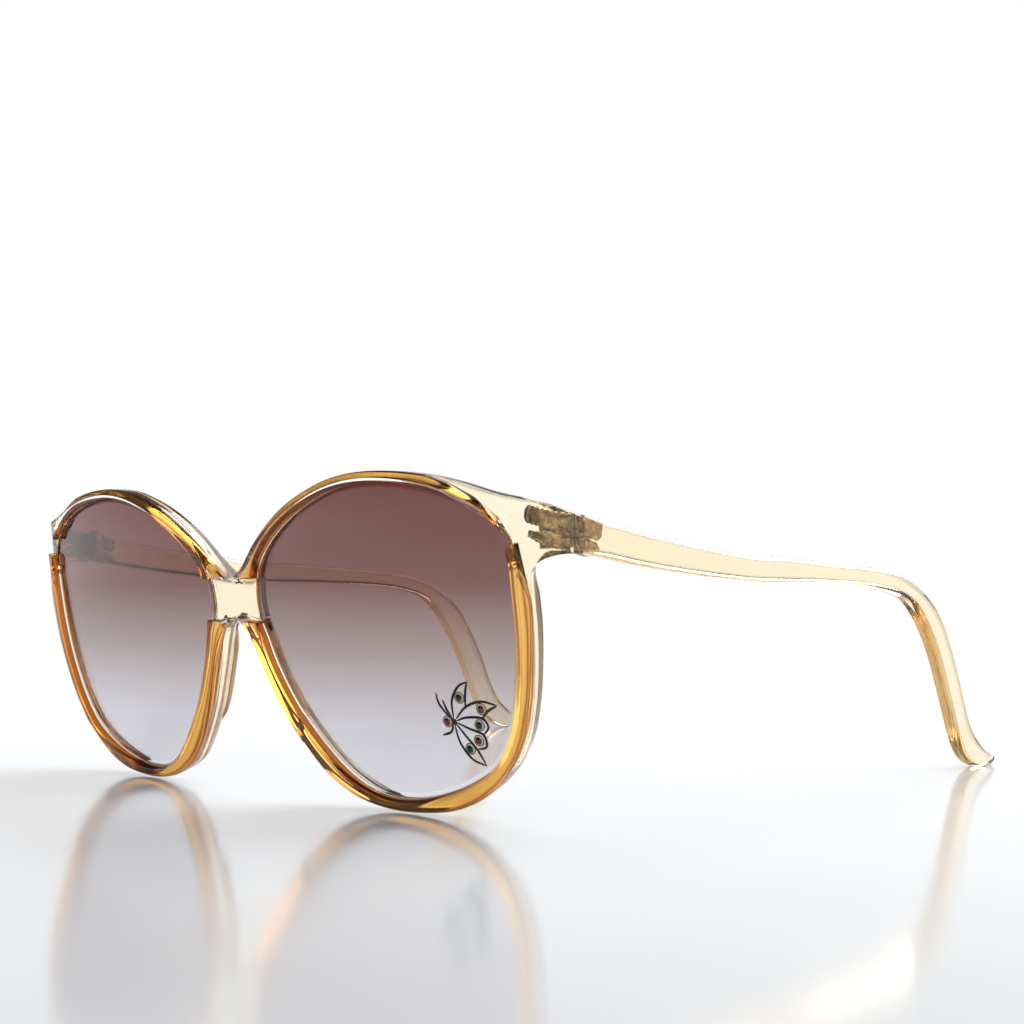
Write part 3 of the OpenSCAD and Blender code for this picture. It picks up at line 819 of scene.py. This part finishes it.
def box_outline(a0, a1, b0, b1):
    """Rectangle with extra points along its sides."""
    side = [(a0, b0), (a1, b0), (a1, b1), (a0, b1), (a0, b0)]
    return np.vstack([np.linspace(p, q, 4)[:-1] for p, q in zip(side[:-1], side[1:])])


def turned(profile, x, y, ring=True, steps=48):
    """A profile of (radius, z) carried round an upright axis at (x, y): a closed one makes a ring,
    and one that starts and ends on the axis a solid."""
    profile = np.asarray(profile, float)
    angle = np.linspace(0, 2 * math.pi, steps, endpoint=False)
    r, z = profile[:, 0][None], profile[:, 1][None]
    points = np.stack([x + r * np.cos(angle)[:, None], y + r * np.sin(angle)[:, None],
                       z + np.zeros((steps, 1))], axis=-1)
    return points.reshape(-1, 3), grid_faces(steps, len(profile), True, ring)


def tang(y, z, length, high, teeth, nose):
    """Toothed tang from (y, z) along y by length: its upper and lower edges are zigzags, and it
    narrows over nose at its far end. It tilts with the endpiece."""
    step = np.linspace(0, 1, teeth * 2 + 1)
    cut = TOOTH * (np.arange(len(step)) % 2)
    slim = 1 - 0.55 * smoothstep(1 - nose / abs(length), 1, step)
    edge = (high / 2) * slim - cut
    along = step * length
    outline = np.vstack([np.column_stack([along, edge]), np.column_stack([along, -edge])[::-1]])
    c, s = math.cos(TANG_LEAN), math.sin(TANG_LEAN)
    tilted = np.column_stack([outline[:, 0] * c - outline[:, 1] * s + y,
                              outline[:, 0] * s + outline[:, 1] * c + z])
    return slab(tilted, INNER_X + 0.2, INNER_X + 1.0, 0.14, (1, 2, 0))


def barrel(number, way):
    """One barrel of the stack with the neck that joins it to its leaf."""
    z = BARREL_Z + number * BARREL_PITCH
    lower = [(BORE_R, 0.0), (BARREL_R - 0.1, 0.0), (BARREL_R - 0.03, 0.03), (BARREL_R, 0.1)]
    wall = [(r, z + rise) for r, rise in lower] + [(r, z + BARREL_H - rise) for r, rise in lower[::-1]]
    y0, y1 = sorted((AXIS_Y + way * LEAF_GAP, AXIS_Y + way * BARREL_R))
    neck = slab(box_outline(AXIS_X + 0.75, INNER_X + 0.3, y0, y1), z, z + BARREL_H, 0.05, (0, 1, 2))
    return [turned(wall, AXIS_X, AXIS_Y), neck]


def leaf(way, numbers, tangs):
    """A hinge leaf: its plate, two tangs and its barrels, moved to the shared origin."""
    y0, y1 = sorted((AXIS_Y + way * LEAF_GAP, AXIS_Y + way * LEAF_LONG))
    parts = [slab(box_outline(y0, y1, BARREL_Z, STACK_TOP), INNER_X, INNER_X + LEAF_T, 0.1, (1, 2, 0))]
    parts += [tang(*values) for values in tangs]
    for number in numbers:
        parts += barrel(number, way)
    points, faces = joined(*parts)
    return points - np.array([0, MIDDLE_Y, 0]), faces


def screw():
    """The screw's shaft with a head of two half discs, which leave the slot between them."""
    shaft = [(0.0, BARREL_Z), (SCREW_R - 0.1, BARREL_Z), (SCREW_R, BARREL_Z + 0.1), (SCREW_R, STACK_TOP),
             (HEAD_R - 0.05, STACK_TOP), (HEAD_R, STACK_TOP + 0.05), (HEAD_R, STACK_TOP + 0.42),
             (0.0, STACK_TOP + 0.42)]
    parts = [turned(shaft, AXIS_X, AXIS_Y, ring=False)]
    edge = math.asin(SLOT_HALF / HEAD_R)
    a = np.linspace(edge, math.pi - edge, 20)
    for sign in (1, -1):
        half = np.column_stack([AXIS_X + HEAD_R * np.cos(a), AXIS_Y + sign * HEAD_R * np.sin(a)])
        parts.append(slab(half, STACK_TOP + 0.38, STACK_TOP + 0.7, 0.06, (0, 1, 2)))
    points, faces = joined(*parts)
    return points - np.array([0, MIDDLE_Y, 0]), faces


# %% Hinges
# Each tang's root y and z, length, height, number of teeth and length of its narrowed nose.
FRONT_TANGS = [(12.9, 45.85, -8.0, 2.8, 9, 0.4), (12.9, 42.9, -7.2, 2.3, 8, 3.6)]
TEMPLE_TANGS = [(14.1, 45.8, 5.6, 2.9, 6, 0.4), (14.1, 42.9, 5.2, 2.3, 11, 1.2)]
hinges = {}
for node_name, mesh_name, part in (
        ("hinge_front_leaf_", "gilt_front_leaf", leaf(-1, (0, 2, 4), FRONT_TANGS)),
        ("hinge_temple_leaf_", "gilt_temple_leaf", leaf(1, (1, 3), TEMPLE_TANGS)),
        ("hinge_screw_", "slotted_screw", screw())):
    for side, piece in pair(mesh_name, part, smooth=False).items():
        hinges[node_name + side] = piece

# %% [markdown]
# ## Butterfly
# The butterfly is drawn in raised dark lines, as by a fine brush: each line swells in the middle and
# runs out thin. A line is a half-round section carried along a smooth curve on the lens's face.
# The six stones are cut glass in low pale cups, each with a thin dark ring round it. Painted on
# the lens, the lines would catch no light along their edges, as raised enamel does.

# %% Butterfly sizes
BUTTERFLY = np.array([50.9, -14.9])
LINES = [[(0, 0.4), (0.3, 3.4), (1.9, 5.6), (3.9, 6.5)], [(3.85, 6.45), (3.2, 4.6), (2.75, 2.3)],
         [(0.3, 0.3), (2.8, 2.4), (5.9, 3.3), (8.9, 2.7)], [(8.85, 2.65), (7, 1.8), (5.6, 0.55)],
         [(0.4, 0.1), (2.6, 0.7), (5.6, 0.6), (6.5, -0.8), (5.25, -2.15)],
         [(0.4, -0.1), (2.8, -1.1), (5.3, -2.1), (5.4, -4), (3.45, -4.45)],
         [(0.3, -0.3), (1.8, -2.3), (3.5, -4.5), (4.7, -7.2)],
         [(4.65, -7.15), (2.1, -6), (0.4, -3.4), (0, -0.4)],
         [(-0.3, 0.3), (-1.6, 1.7), (-2.5, 3.1), (-2.7, 4.7)], [(-0.2, 0.35), (-1, 1.8), (-1.6, 3.6)],
         [(-0.2, -0.3), (-1, -1.7), (-2.9, -2.3)]]
RUBIES = [(-1.3, 0), (5.8, 2.1), (4.2, -3)]
EMERALDS = [(1.9, 3.9), (4.9, -0.5), (2.2, -4.4)]
LINE_HIGH, LINE_SINK = 0.14, 0.01
CUP_R, CUP_TUBE = 0.73, 0.11
OUTLINE_R, OUTLINE_TUBE = 0.9, 0.07
print("butterfly", len(LINES), "lines", len(RUBIES) + len(EMERALDS), "stones")


# %% Butterfly lines
def brush_line(points, thick=0.46, thin=0.27, steps=14):
    """Half-round ridge along a curve: its width at share s of the way is thin + (thick - thin) times
    the sine of pi s, drawn in at both ends, and its height grows with the root of its width."""
    curve = spline(np.array(points, float) + BUTTERFLY, steps)
    s = np.linspace(0, 1, len(curve))
    pointed = np.minimum(1, 10 * np.minimum(s, 1 - s) + 0.3)
    half_width = 0.5 * (thin + (thick - thin) * np.sin(math.pi * s)) * pointed
    across = np.linspace(0, math.pi, 9)
    n = normals_of(curve)
    uv = curve[:, None] + n[:, None] * (half_width[:, None] * np.cos(across))[..., None]
    high = (LINE_HIGH + LINE_SINK) * (half_width / half_width.max())[:, None] ** 0.5
    uvw = with_depth(uv, LENS_W0 + LINE_SINK - high * np.sin(across))
    ends = [np.broadcast_to(uvw[i].mean(axis=0), uvw[i].shape)[None] for i in (0, -1)]
    uvw = np.concatenate([ends[0], uvw, ends[1]])
    return placed(uvw).reshape(-1, 3), grid_faces(*uvw.shape[:2], False, True)


def cup(place, radius, tube, low):
    """A ring round a stone: a small round section carried round a circle on the lens."""
    angle = np.linspace(0, 2 * math.pi, 40, endpoint=False)
    section = np.linspace(0, 2 * math.pi, 10, endpoint=False)
    r = radius + tube * np.cos(section)
    circles = np.stack([np.outer(np.cos(angle), r), np.outer(np.sin(angle), r)], axis=-1)
    uv = np.array(place) + BUTTERFLY + circles
    uvw = with_depth(uv, low - tube * np.sin(section))
    return placed(uvw).reshape(-1, 3), grid_faces(len(angle), len(section), True, True)


body_part = brush_line([(-0.45, 0.45), (0, 0), (0.5, -0.5)], 0.95, 0.5)
lines_part = joined(*(brush_line(line) for line in LINES), body_part,
                    *(cup(place, OUTLINE_R, OUTLINE_TUBE, LENS_W0 - 0.02) for place in RUBIES + EMERALDS))
cups_part = joined(*(cup(place, CUP_R, CUP_TUBE, LENS_W0) for place in RUBIES + EMERALDS))
gilded = np.repeat([0.0, 1.0], [len(lines_part[0]), len(cups_part[0])])
linework = mesh_piece("butterfly_lines", joined(lines_part, cups_part), marks={"gilded": gilded})

# %% [markdown]
# ## Stones
# A stone is a small brilliant: a round waist, slanting facets and a flat table on top. Blender has
# no gem among its plain shapes, and a smooth bead wouldn't flash, so rings of sixteen points are
# stacked, and the faces between them stay flat.


# %% Stones
def cut_stone(place, radius=0.62, high=0.5):
    """Round cut stone with eight sides: a sixteen-sided girdle, eight kites and a table. Rings go
    from the middle of the flat back over the girdle to the middle of the table."""
    angle = np.linspace(0, 2 * math.pi, 16, endpoint=False)
    on_corner = np.arange(16) % 2 == 0
    kite = np.where(on_corner, 0.80, 0.74)
    table = 0.52 / np.cos(np.where(on_corner, 0.0, math.pi / 8)) * np.cos(math.pi / 8)
    rings = [(0.0, 0.0), (0.86, 0.0), (1.0, 0.3), (1.0, 0.42), (kite, 0.74), (table, 1.0), (0.0, 1.0)]
    uvw = np.stack([np.column_stack([place[0] + BUTTERFLY[0] + radius * r * np.cos(angle),
                                     place[1] + BUTTERFLY[1] + radius * r * np.sin(angle),
                                     LENS_W0 - high * h + 0 * angle]) for r, h in rings])
    return placed(uvw).reshape(-1, 3), grid_faces(*uvw.shape[:2], False, True)


stones = {}
for kind, places in (("ruby", RUBIES), ("emerald", EMERALDS)):
    for number, place in enumerate(places, 1):
        stones[f"{kind}_stone_{number}"] = mesh_piece(f"{kind}_cut_{number}", cut_stone(place), smooth=False)

# %% [markdown]
# ## A short way to write shaders
# A small class wraps a node's output socket, so that a mask can be written as an expression. One
# function adds any other node, with its settings first and its sockets after. Nodes linked one by
# one would give the same trees, but nobody could read the formula from them.


# %% Shader helpers
class Wire:
    """An output socket that knows its tree; its operators add Math nodes."""

    def __init__(self, tree, socket):
        self.tree, self.socket = tree, socket

    def _math(self, operation, a, b):
        return add_node(self.tree, "ShaderNodeMath", {"operation": operation}, 0, **{"0": a, "1": b})

    def __add__(self, other):
        return self._math("ADD", self, other)

    def __radd__(self, other):
        return self._math("ADD", other, self)

    def __sub__(self, other):
        return self._math("SUBTRACT", self, other)

    def __rsub__(self, other):
        return self._math("SUBTRACT", other, self)

    def __mul__(self, other):
        return self._math("MULTIPLY", self, other)

    def __rmul__(self, other):
        return self._math("MULTIPLY", other, self)


def add_node(tree, kind, settings=None, outlet=0, **values):
    """A node with its settings, then its sockets set or linked by name (underscores for spaces) or
    by number."""
    node = tree.nodes.new(kind)
    for key, value in (settings or {}).items():
        if key == "stops":
            ramp = node.color_ramp
            while len(ramp.elements) < len(value):
                ramp.elements.new(0.5)
            for element, (place, colour) in zip(ramp.elements, value):
                element.position, element.color = place, (*colour, 1)
        else:
            setattr(node, key, value)
    for key, value in values.items():
        socket = node.inputs[int(key)] if key.isdigit() else node.inputs[key.replace("_", " ")]
        if isinstance(value, Wire):
            tree.links.new(value.socket, socket)
        else:
            socket.default_value = value
    return Wire(tree, node.outputs[outlet])


def colours_along(wire, *stops):
    """A ramp of (place, colour) stops along a wire."""
    return add_node(wire.tree, "ShaderNodeValToRGB", {"stops": stops}, Fac=wire)


def noise(place, scale, detail):
    """Soft noise in the object's own coordinates."""
    return add_node(place.tree, "ShaderNodeTexNoise", Vector=place, Scale=scale, Detail=detail)


def new_material(name):
    """An empty node material, its tree, its output node and the object's own coordinates."""
    material = bpy.data.materials.new(name)
    material.use_nodes = True
    tree = material.node_tree
    tree.nodes.clear()
    print("material", name)
    return (material, tree, tree.nodes.new("ShaderNodeOutputMaterial"),
            add_node(tree, "ShaderNodeTexCoord", outlet=3))


def dress(piece, material):
    """The material in a piece's only slot."""
    piece.data.materials.clear()
    piece.data.materials.append(material)


# %% [markdown]
# ## Clear and dark acetate
# Acetate bends light much as glass does, and what colours it is the way the light takes through
# it: thin edges stay pale and thick stretches go dark. So the surface is a colourless dielectric
# and the colour is in the volume, given as the share of red, green and blue left after 1 mm; only
# the dark sheet's surface carries painted shade, in bands along its edges. A tinted surface is
# quicker to render, but has the same colour at every thickness.


# %% Acetate
ACETATE_IOR, ACETATE_ROUGH, HAZE_ROUGH, WAVY = 1.49, 0.03, 0.03, 0.05


def absorbing(name, left_after_mm, tint=None):
    """Refracting surface over a volume where each channel falls to left_after_mm per millimetre:
    sigma = -ln(left) per mm, as density * (1 - colour)."""
    material, tree, output, place = new_material(name)
    sigma = [-math.log(c) / MM for c in left_after_mm]
    density = max(sigma) * 1.02
    colour = [1 - s / density for s in sigma]
    waves = add_node(tree, "ShaderNodeBump", Strength=WAVY, Distance=0.001, Height=noise(place, 60.0, 2.0))
    shader = add_node(tree, "ShaderNodeBsdfPrincipled", Base_Color=tint(place) if tint else (1, 1, 1, 1),
                      IOR=ACETATE_IOR, Roughness=noise(place, 350.0, 3.0) * HAZE_ROUGH + ACETATE_ROUGH,
                      Transmission_Weight=1.0, Normal=waves)
    volume = add_node(tree, "ShaderNodeVolumeAbsorption", Color=(*colour, 1), Density=density)
    tree.links.new(shader.socket, output.inputs["Surface"])
    tree.links.new(volume.socket, output.inputs["Volume"])
    return material


def painted_edge_shade(place):
    """Surface colour of the dark sheet across its width, from the lens to the outer edge: painted shade
    darkens bands along both tumbled edges, standing in for the dark lines that refraction draws
    there, the middle is left clear, and slow clouds move the limits about."""
    across = add_node(place.tree, "ShaderNodeAttribute", {"attribute_name": "across"}, 2)
    return colours_along(across + noise(place, 60.0, 3.0) * 0.18 - 0.09,
                         (0.0, (0.3, 0.1, 0.08)), (0.06, (0.36, 0.13, 0.09)), (0.13, (0.95, 0.76, 0.58)),
                         (0.22, (1.0, 1.0, 1.0)), (0.66, (1.0, 1.0, 1.0)), (0.76, (0.88, 0.5, 0.36)),
                         (0.83, (0.05, 0.012, 0.01)), (0.93, (0.95, 0.8, 0.6)))


champagne = absorbing("champagne_acetate", (0.990, 0.956, 0.886))
# The amber's surface colour is painted shade in bands along its edges; its own colour is in the volume.
amber = absorbing("amber_acetate", (0.91, 0.66, 0.27), tint=painted_edge_shade)
for piece in (base, *pads.values(), *temples.values()):
    dress(piece, champagne)
for piece in (*brows.values(), *rims.values()):
    dress(piece, amber)

# %% [markdown]
# ## Lens tint
# Such a lens is dipped in dye and drawn out slowly, so it is dark brown above and nearly clear
# below. The lens is about as thick all over, so its tint can be a colour that runs with height on
# its surface. An absorbing volume would need a second set of numbers for the same look.

# %% Lens tint
TINT_LOW, TINT_HIGH = 0.001, 0.053
lens_material, tree, output, place = new_material("gradient_tint")
height = add_node(tree, "ShaderNodeSeparateXYZ", outlet=2, Vector=place)
share = (height - TINT_LOW) * (1 / (TINT_HIGH - TINT_LOW))
tint = colours_along(share, (0.0, (0.78, 0.775, 0.81)), (0.24, (0.64, 0.622, 0.658)),
                     (0.47, (0.382, 0.31, 0.308)), (0.69, (0.196, 0.097, 0.088)),
                     (1.0, (0.124, 0.024, 0.02)))
shader = add_node(tree, "ShaderNodeBsdfPrincipled", Base_Color=tint, IOR=1.5, Roughness=0.0,
                  Transmission_Weight=1.0)
tree.links.new(shader.socket, output.inputs["Surface"])
for piece in lenses.values():
    dress(piece, lens_material)

# %% [markdown]
# ## Metal, enamel and stones
# The leaves are brass with a worn gilding and a pressed grain, which shows through the clear
# plastic. The butterfly's lines are dark enamel, browner where it pooled, and the cups are pale
# gold. The stones are glass over foil: a deep, half metallic colour under a clear coat stands for
# both, as glass that refracts goes black in a stone only a millimetre wide.

# %% Metal
brass, tree, output, place = new_material("gilt_hinge")
pressed = add_node(tree, "ShaderNodeTexVoronoi", {"feature": "F1"}, 0, Vector=place, Scale=2600.0)
worn = noise(place, 900.0, 4.0)
gilt = colours_along(worn, (0.3, (0.24, 0.18, 0.11)), (0.5, (0.46, 0.38, 0.25)), (0.72, (0.74, 0.70, 0.58)))
dents = add_node(tree, "ShaderNodeBump", Strength=0.5, Distance=0.0001, Height=pressed + worn * 1.5)
shader = add_node(tree, "ShaderNodeBsdfPrincipled", Base_Color=gilt, Metallic=1.0,
                  Roughness=worn * 0.4 + 0.12, Normal=dents)
tree.links.new(shader.socket, output.inputs["Surface"])
for piece in hinges.values():
    dress(piece, brass)

# %% Enamel
enamel, tree, output, place = new_material("dark_enamel")
pooled = noise(place, 1400.0, 3.0)
glaze = colours_along(pooled, (0.35, (0.008, 0.005, 0.005)), (0.55, (0.03, 0.016, 0.012)),
                      (0.75, (0.09, 0.05, 0.035)))
cup_gold = colours_along(pooled, (0.3, (0.7, 0.6, 0.34)), (0.7, (0.95, 0.92, 0.76)))
raised = add_node(tree, "ShaderNodeBump", Strength=0.3, Distance=0.00005, Height=pooled)
on_cup = add_node(tree, "ShaderNodeAttribute", {"attribute_name": "gilded"}, 2)
covering = add_node(tree, "ShaderNodeMix", {"data_type": "RGBA"}, 2,
                    **{"0": on_cup, "6": glaze, "7": cup_gold})
shader = add_node(tree, "ShaderNodeBsdfPrincipled", Base_Color=covering, Roughness=pooled * 0.4 + 0.15,
                  Normal=raised)
tree.links.new(shader.socket, output.inputs["Surface"])
dress(linework, enamel)


# %% Stones' glass
def gem(name, colour):
    """Cut glass over a foil: a coat over a deep colour, darkened in noise patches as painted shade that
    stands in for light changing from facet to facet.
    """
    material, tree, output, place = new_material(name)
    spark = noise(place, 1800.0, 1.0)
    # Painted shade: the noise darkens the stone's colour in patches, as the facets' changing light would.
    foil = colours_along(spark, (0.35, tuple(c * 0.25 for c in colour)), (0.65, colour))
    shader = add_node(tree, "ShaderNodeBsdfPrincipled", Base_Color=foil, Metallic=0.6,
                      Roughness=spark * 0.1 + 0.05, Coat_Weight=1.0, IOR=1.6)
    tree.links.new(shader.socket, output.inputs["Surface"])
    return material


ruby = gem("ruby_glass", (0.27, 0.02, 0.05))
emerald = gem("emerald_glass", (0.006, 0.06, 0.032))
for name, piece in stones.items():
    dress(piece, ruby if name.startswith("ruby") else emerald)

# %% [markdown]
# ## Where each piece rides
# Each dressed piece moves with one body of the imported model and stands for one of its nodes. The
# temples and the leaves set in them fold, and all else stays with the front. One skin over the
# whole would look the same at rest, but could neither fold nor be taken apart.

# %% Where each piece rides, and what it stands for
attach(base, "front")
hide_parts("front_frame")
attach(linework, "front")
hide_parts("butterfly_linework")
for name, piece in stones.items():
    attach(piece, "front")
    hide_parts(name)
for side in ("left", "right"):
    for piece, node_name in ((brows[side], "brow_layer_"), (rims[side], "rim_layer_")):
        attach(piece, "front")
        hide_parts(node_name + side)
    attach(lenses[side], "front")
    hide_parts("lens_" + side)
    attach(pads[side], "front")
    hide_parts("nose_pad_" + side)
    for part_name, body in (("front_leaf_", "front"), ("screw_", "front"),
                            ("temple_leaf_", "temple_arm_" + side)):
        node_name = "hinge_" + part_name + side
        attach(hinges[node_name], body)
        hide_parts(node_name)
    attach(temples[side], "temple_arm_" + side)
    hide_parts("temple_" + side)

# %% [markdown]
# ## Studio
# The glasses stand on a pale glossy table that runs out into white, and the camera sees plain
# white behind them. What mirrors in the glasses and what is seen through them is a backdrop that
# is bright at the horizon and darker high up and in front, which draws dark lines along the clear
# edges. All other rays get one even soft level. One soft lamp hangs overhead and a wide one stands
# high behind. A picture of a studio could light the scene as well, but its lamps couldn't be moved
# one by one.


# %% Studio helpers
LAMP_AIM = Vector((0, 0, 0.02))


def seen_directly(tree):
    """Two wires: 1 for rays from the camera, and 1 for these and all mirrored or refracted rays."""
    camera_ray, mirrored_ray, refracted_ray = (
        add_node(tree, "ShaderNodeLightPath", outlet=name)
        for name in ("Is Camera Ray", "Is Glossy Ray", "Is Transmission Ray"))
    larger = {"operation": "MAXIMUM"}
    direct = add_node(tree, "ShaderNodeMath", larger, **{"0": camera_ray, "1": mirrored_ray})
    return camera_ray, add_node(tree, "ShaderNodeMath", larger, **{"0": direct, "1": refracted_ray})


def eased(wire, start, end, low=0.0, high=1.0):
    """Smoothly from low to high while a wire's value goes from start to end."""
    return add_node(wire.tree, "ShaderNodeMapRange", {"interpolation_type": "SMOOTHSTEP"}, Value=wire,
                    From_Min=start, From_Max=end, To_Min=low, To_Max=high)


def softbox(name, heading, rise, distance, size, radiance, tall=1.0):
    """A rectangular lamp in a direction from the object (heading from +X towards +Y and rise, in
    degrees). Its power is radiance * pi * area, and the camera doesn't see it."""
    h, e = math.radians(heading), math.radians(rise)
    light = bpy.data.lights.new(name, "AREA")
    light.shape, light.size, light.size_y = "RECTANGLE", size, size * tall
    light.energy = radiance * math.pi * size * size * tall
    lamp = bpy.data.objects.new(name, light)
    lamp.location = Vector((math.cos(h) * math.cos(e), math.sin(h) * math.cos(e), math.sin(e))) * distance
    lamp.rotation_euler = (LAMP_AIM - lamp.location).to_track_quat("-Z", "Y").to_euler()
    lamp.visible_camera = False
    bpy.context.scene.collection.objects.link(lamp)
    print("lamp", name, "power", round(light.energy, 2), "W")


# %% Table
SOFT_LEVEL, BACK_LEVEL, HIGH_LEVEL, FRONT_LEVEL = 0.62, 1.08, 0.08, 0.35
FLOOR_HALF = 30
FADE_FROM, FADE_TO = 0.12, 0.6  # the table turns white between these distances from the middle
floor_mesh = bpy.data.meshes.new("studio_floor")
floor_mesh.from_pydata([(x * FLOOR_HALF, y * FLOOR_HALF, 0) for x, y in CORNERS], [], [(0, 1, 2, 3)])
floor = bpy.data.objects.new("studio_floor", floor_mesh)
bpy.context.scene.collection.objects.link(floor)
table_material, tree, output, place = new_material("pale_table")
distance = add_node(tree, "ShaderNodeVectorMath", {"operation": "LENGTH"}, 1, **{"0": place})
table = add_node(tree, "ShaderNodeBsdfPrincipled", Base_Color=(0.60, 0.62, 0.645, 1), Roughness=0.12,
                 IOR=2.0)
camera_ray, direct = seen_directly(tree)
white = add_node(tree, "ShaderNodeEmission", Color=(1, 1, 1, 1),
                 Strength=BACK_LEVEL - camera_ray * (BACK_LEVEL - 1.0))
blend = add_node(tree, "ShaderNodeMixShader",
                 **{"0": eased(distance, FADE_FROM, FADE_TO) * direct, "1": table, "2": white})
tree.links.new(blend.socket, output.inputs["Surface"])
dress(floor, table_material)

# %% World
world = bpy.data.worlds.new("studio")
bpy.context.scene.world = world
world.use_nodes = True
tree = world.node_tree
tree.nodes.clear()
output = tree.nodes.new("ShaderNodeOutputWorld")
camera_ray, direct = seen_directly(tree)
direction = add_node(tree, "ShaderNodeTexCoord", outlet=0)
rise = add_node(tree, "ShaderNodeSeparateXYZ", outlet=2, Vector=direction)
back = add_node(tree, "ShaderNodeSeparateXYZ", outlet=1, Vector=direction)
# The direction has length 1, so rise is 0 at the horizon and 1 overhead, and back is -1 in front.
backdrop = eased(rise, 0.12, 0.4, BACK_LEVEL, HIGH_LEVEL) * eased(back, -0.1, 0.3, FRONT_LEVEL, 1.0)
by_share = {"data_type": "FLOAT"}
room = add_node(tree, "ShaderNodeMix", by_share, **{"0": camera_ray, "2": backdrop, "3": 1.0})
strength = add_node(tree, "ShaderNodeMix", by_share, **{"0": direct, "2": SOFT_LEVEL, "3": room})
sky = add_node(tree, "ShaderNodeBackground", Color=(1, 1, 1, 1), Strength=strength)
tree.links.new(sky.socket, output.inputs["Surface"])
print("backdrop from", HIGH_LEVEL, "to", BACK_LEVEL)

# %% Lamps and render settings
softbox("overhead", heading=120, rise=66, distance=1.0, size=0.6, radiance=3.0)
softbox("back_right", heading=80, rise=37, distance=1.5, size=1.9, radiance=6.5, tall=0.42)

scene = bpy.context.scene
scene.view_settings.view_transform = "Standard"
scene.cycles.max_bounces = 32
scene.cycles.transmission_bounces = 24
scene.cycles.glossy_bounces = 8
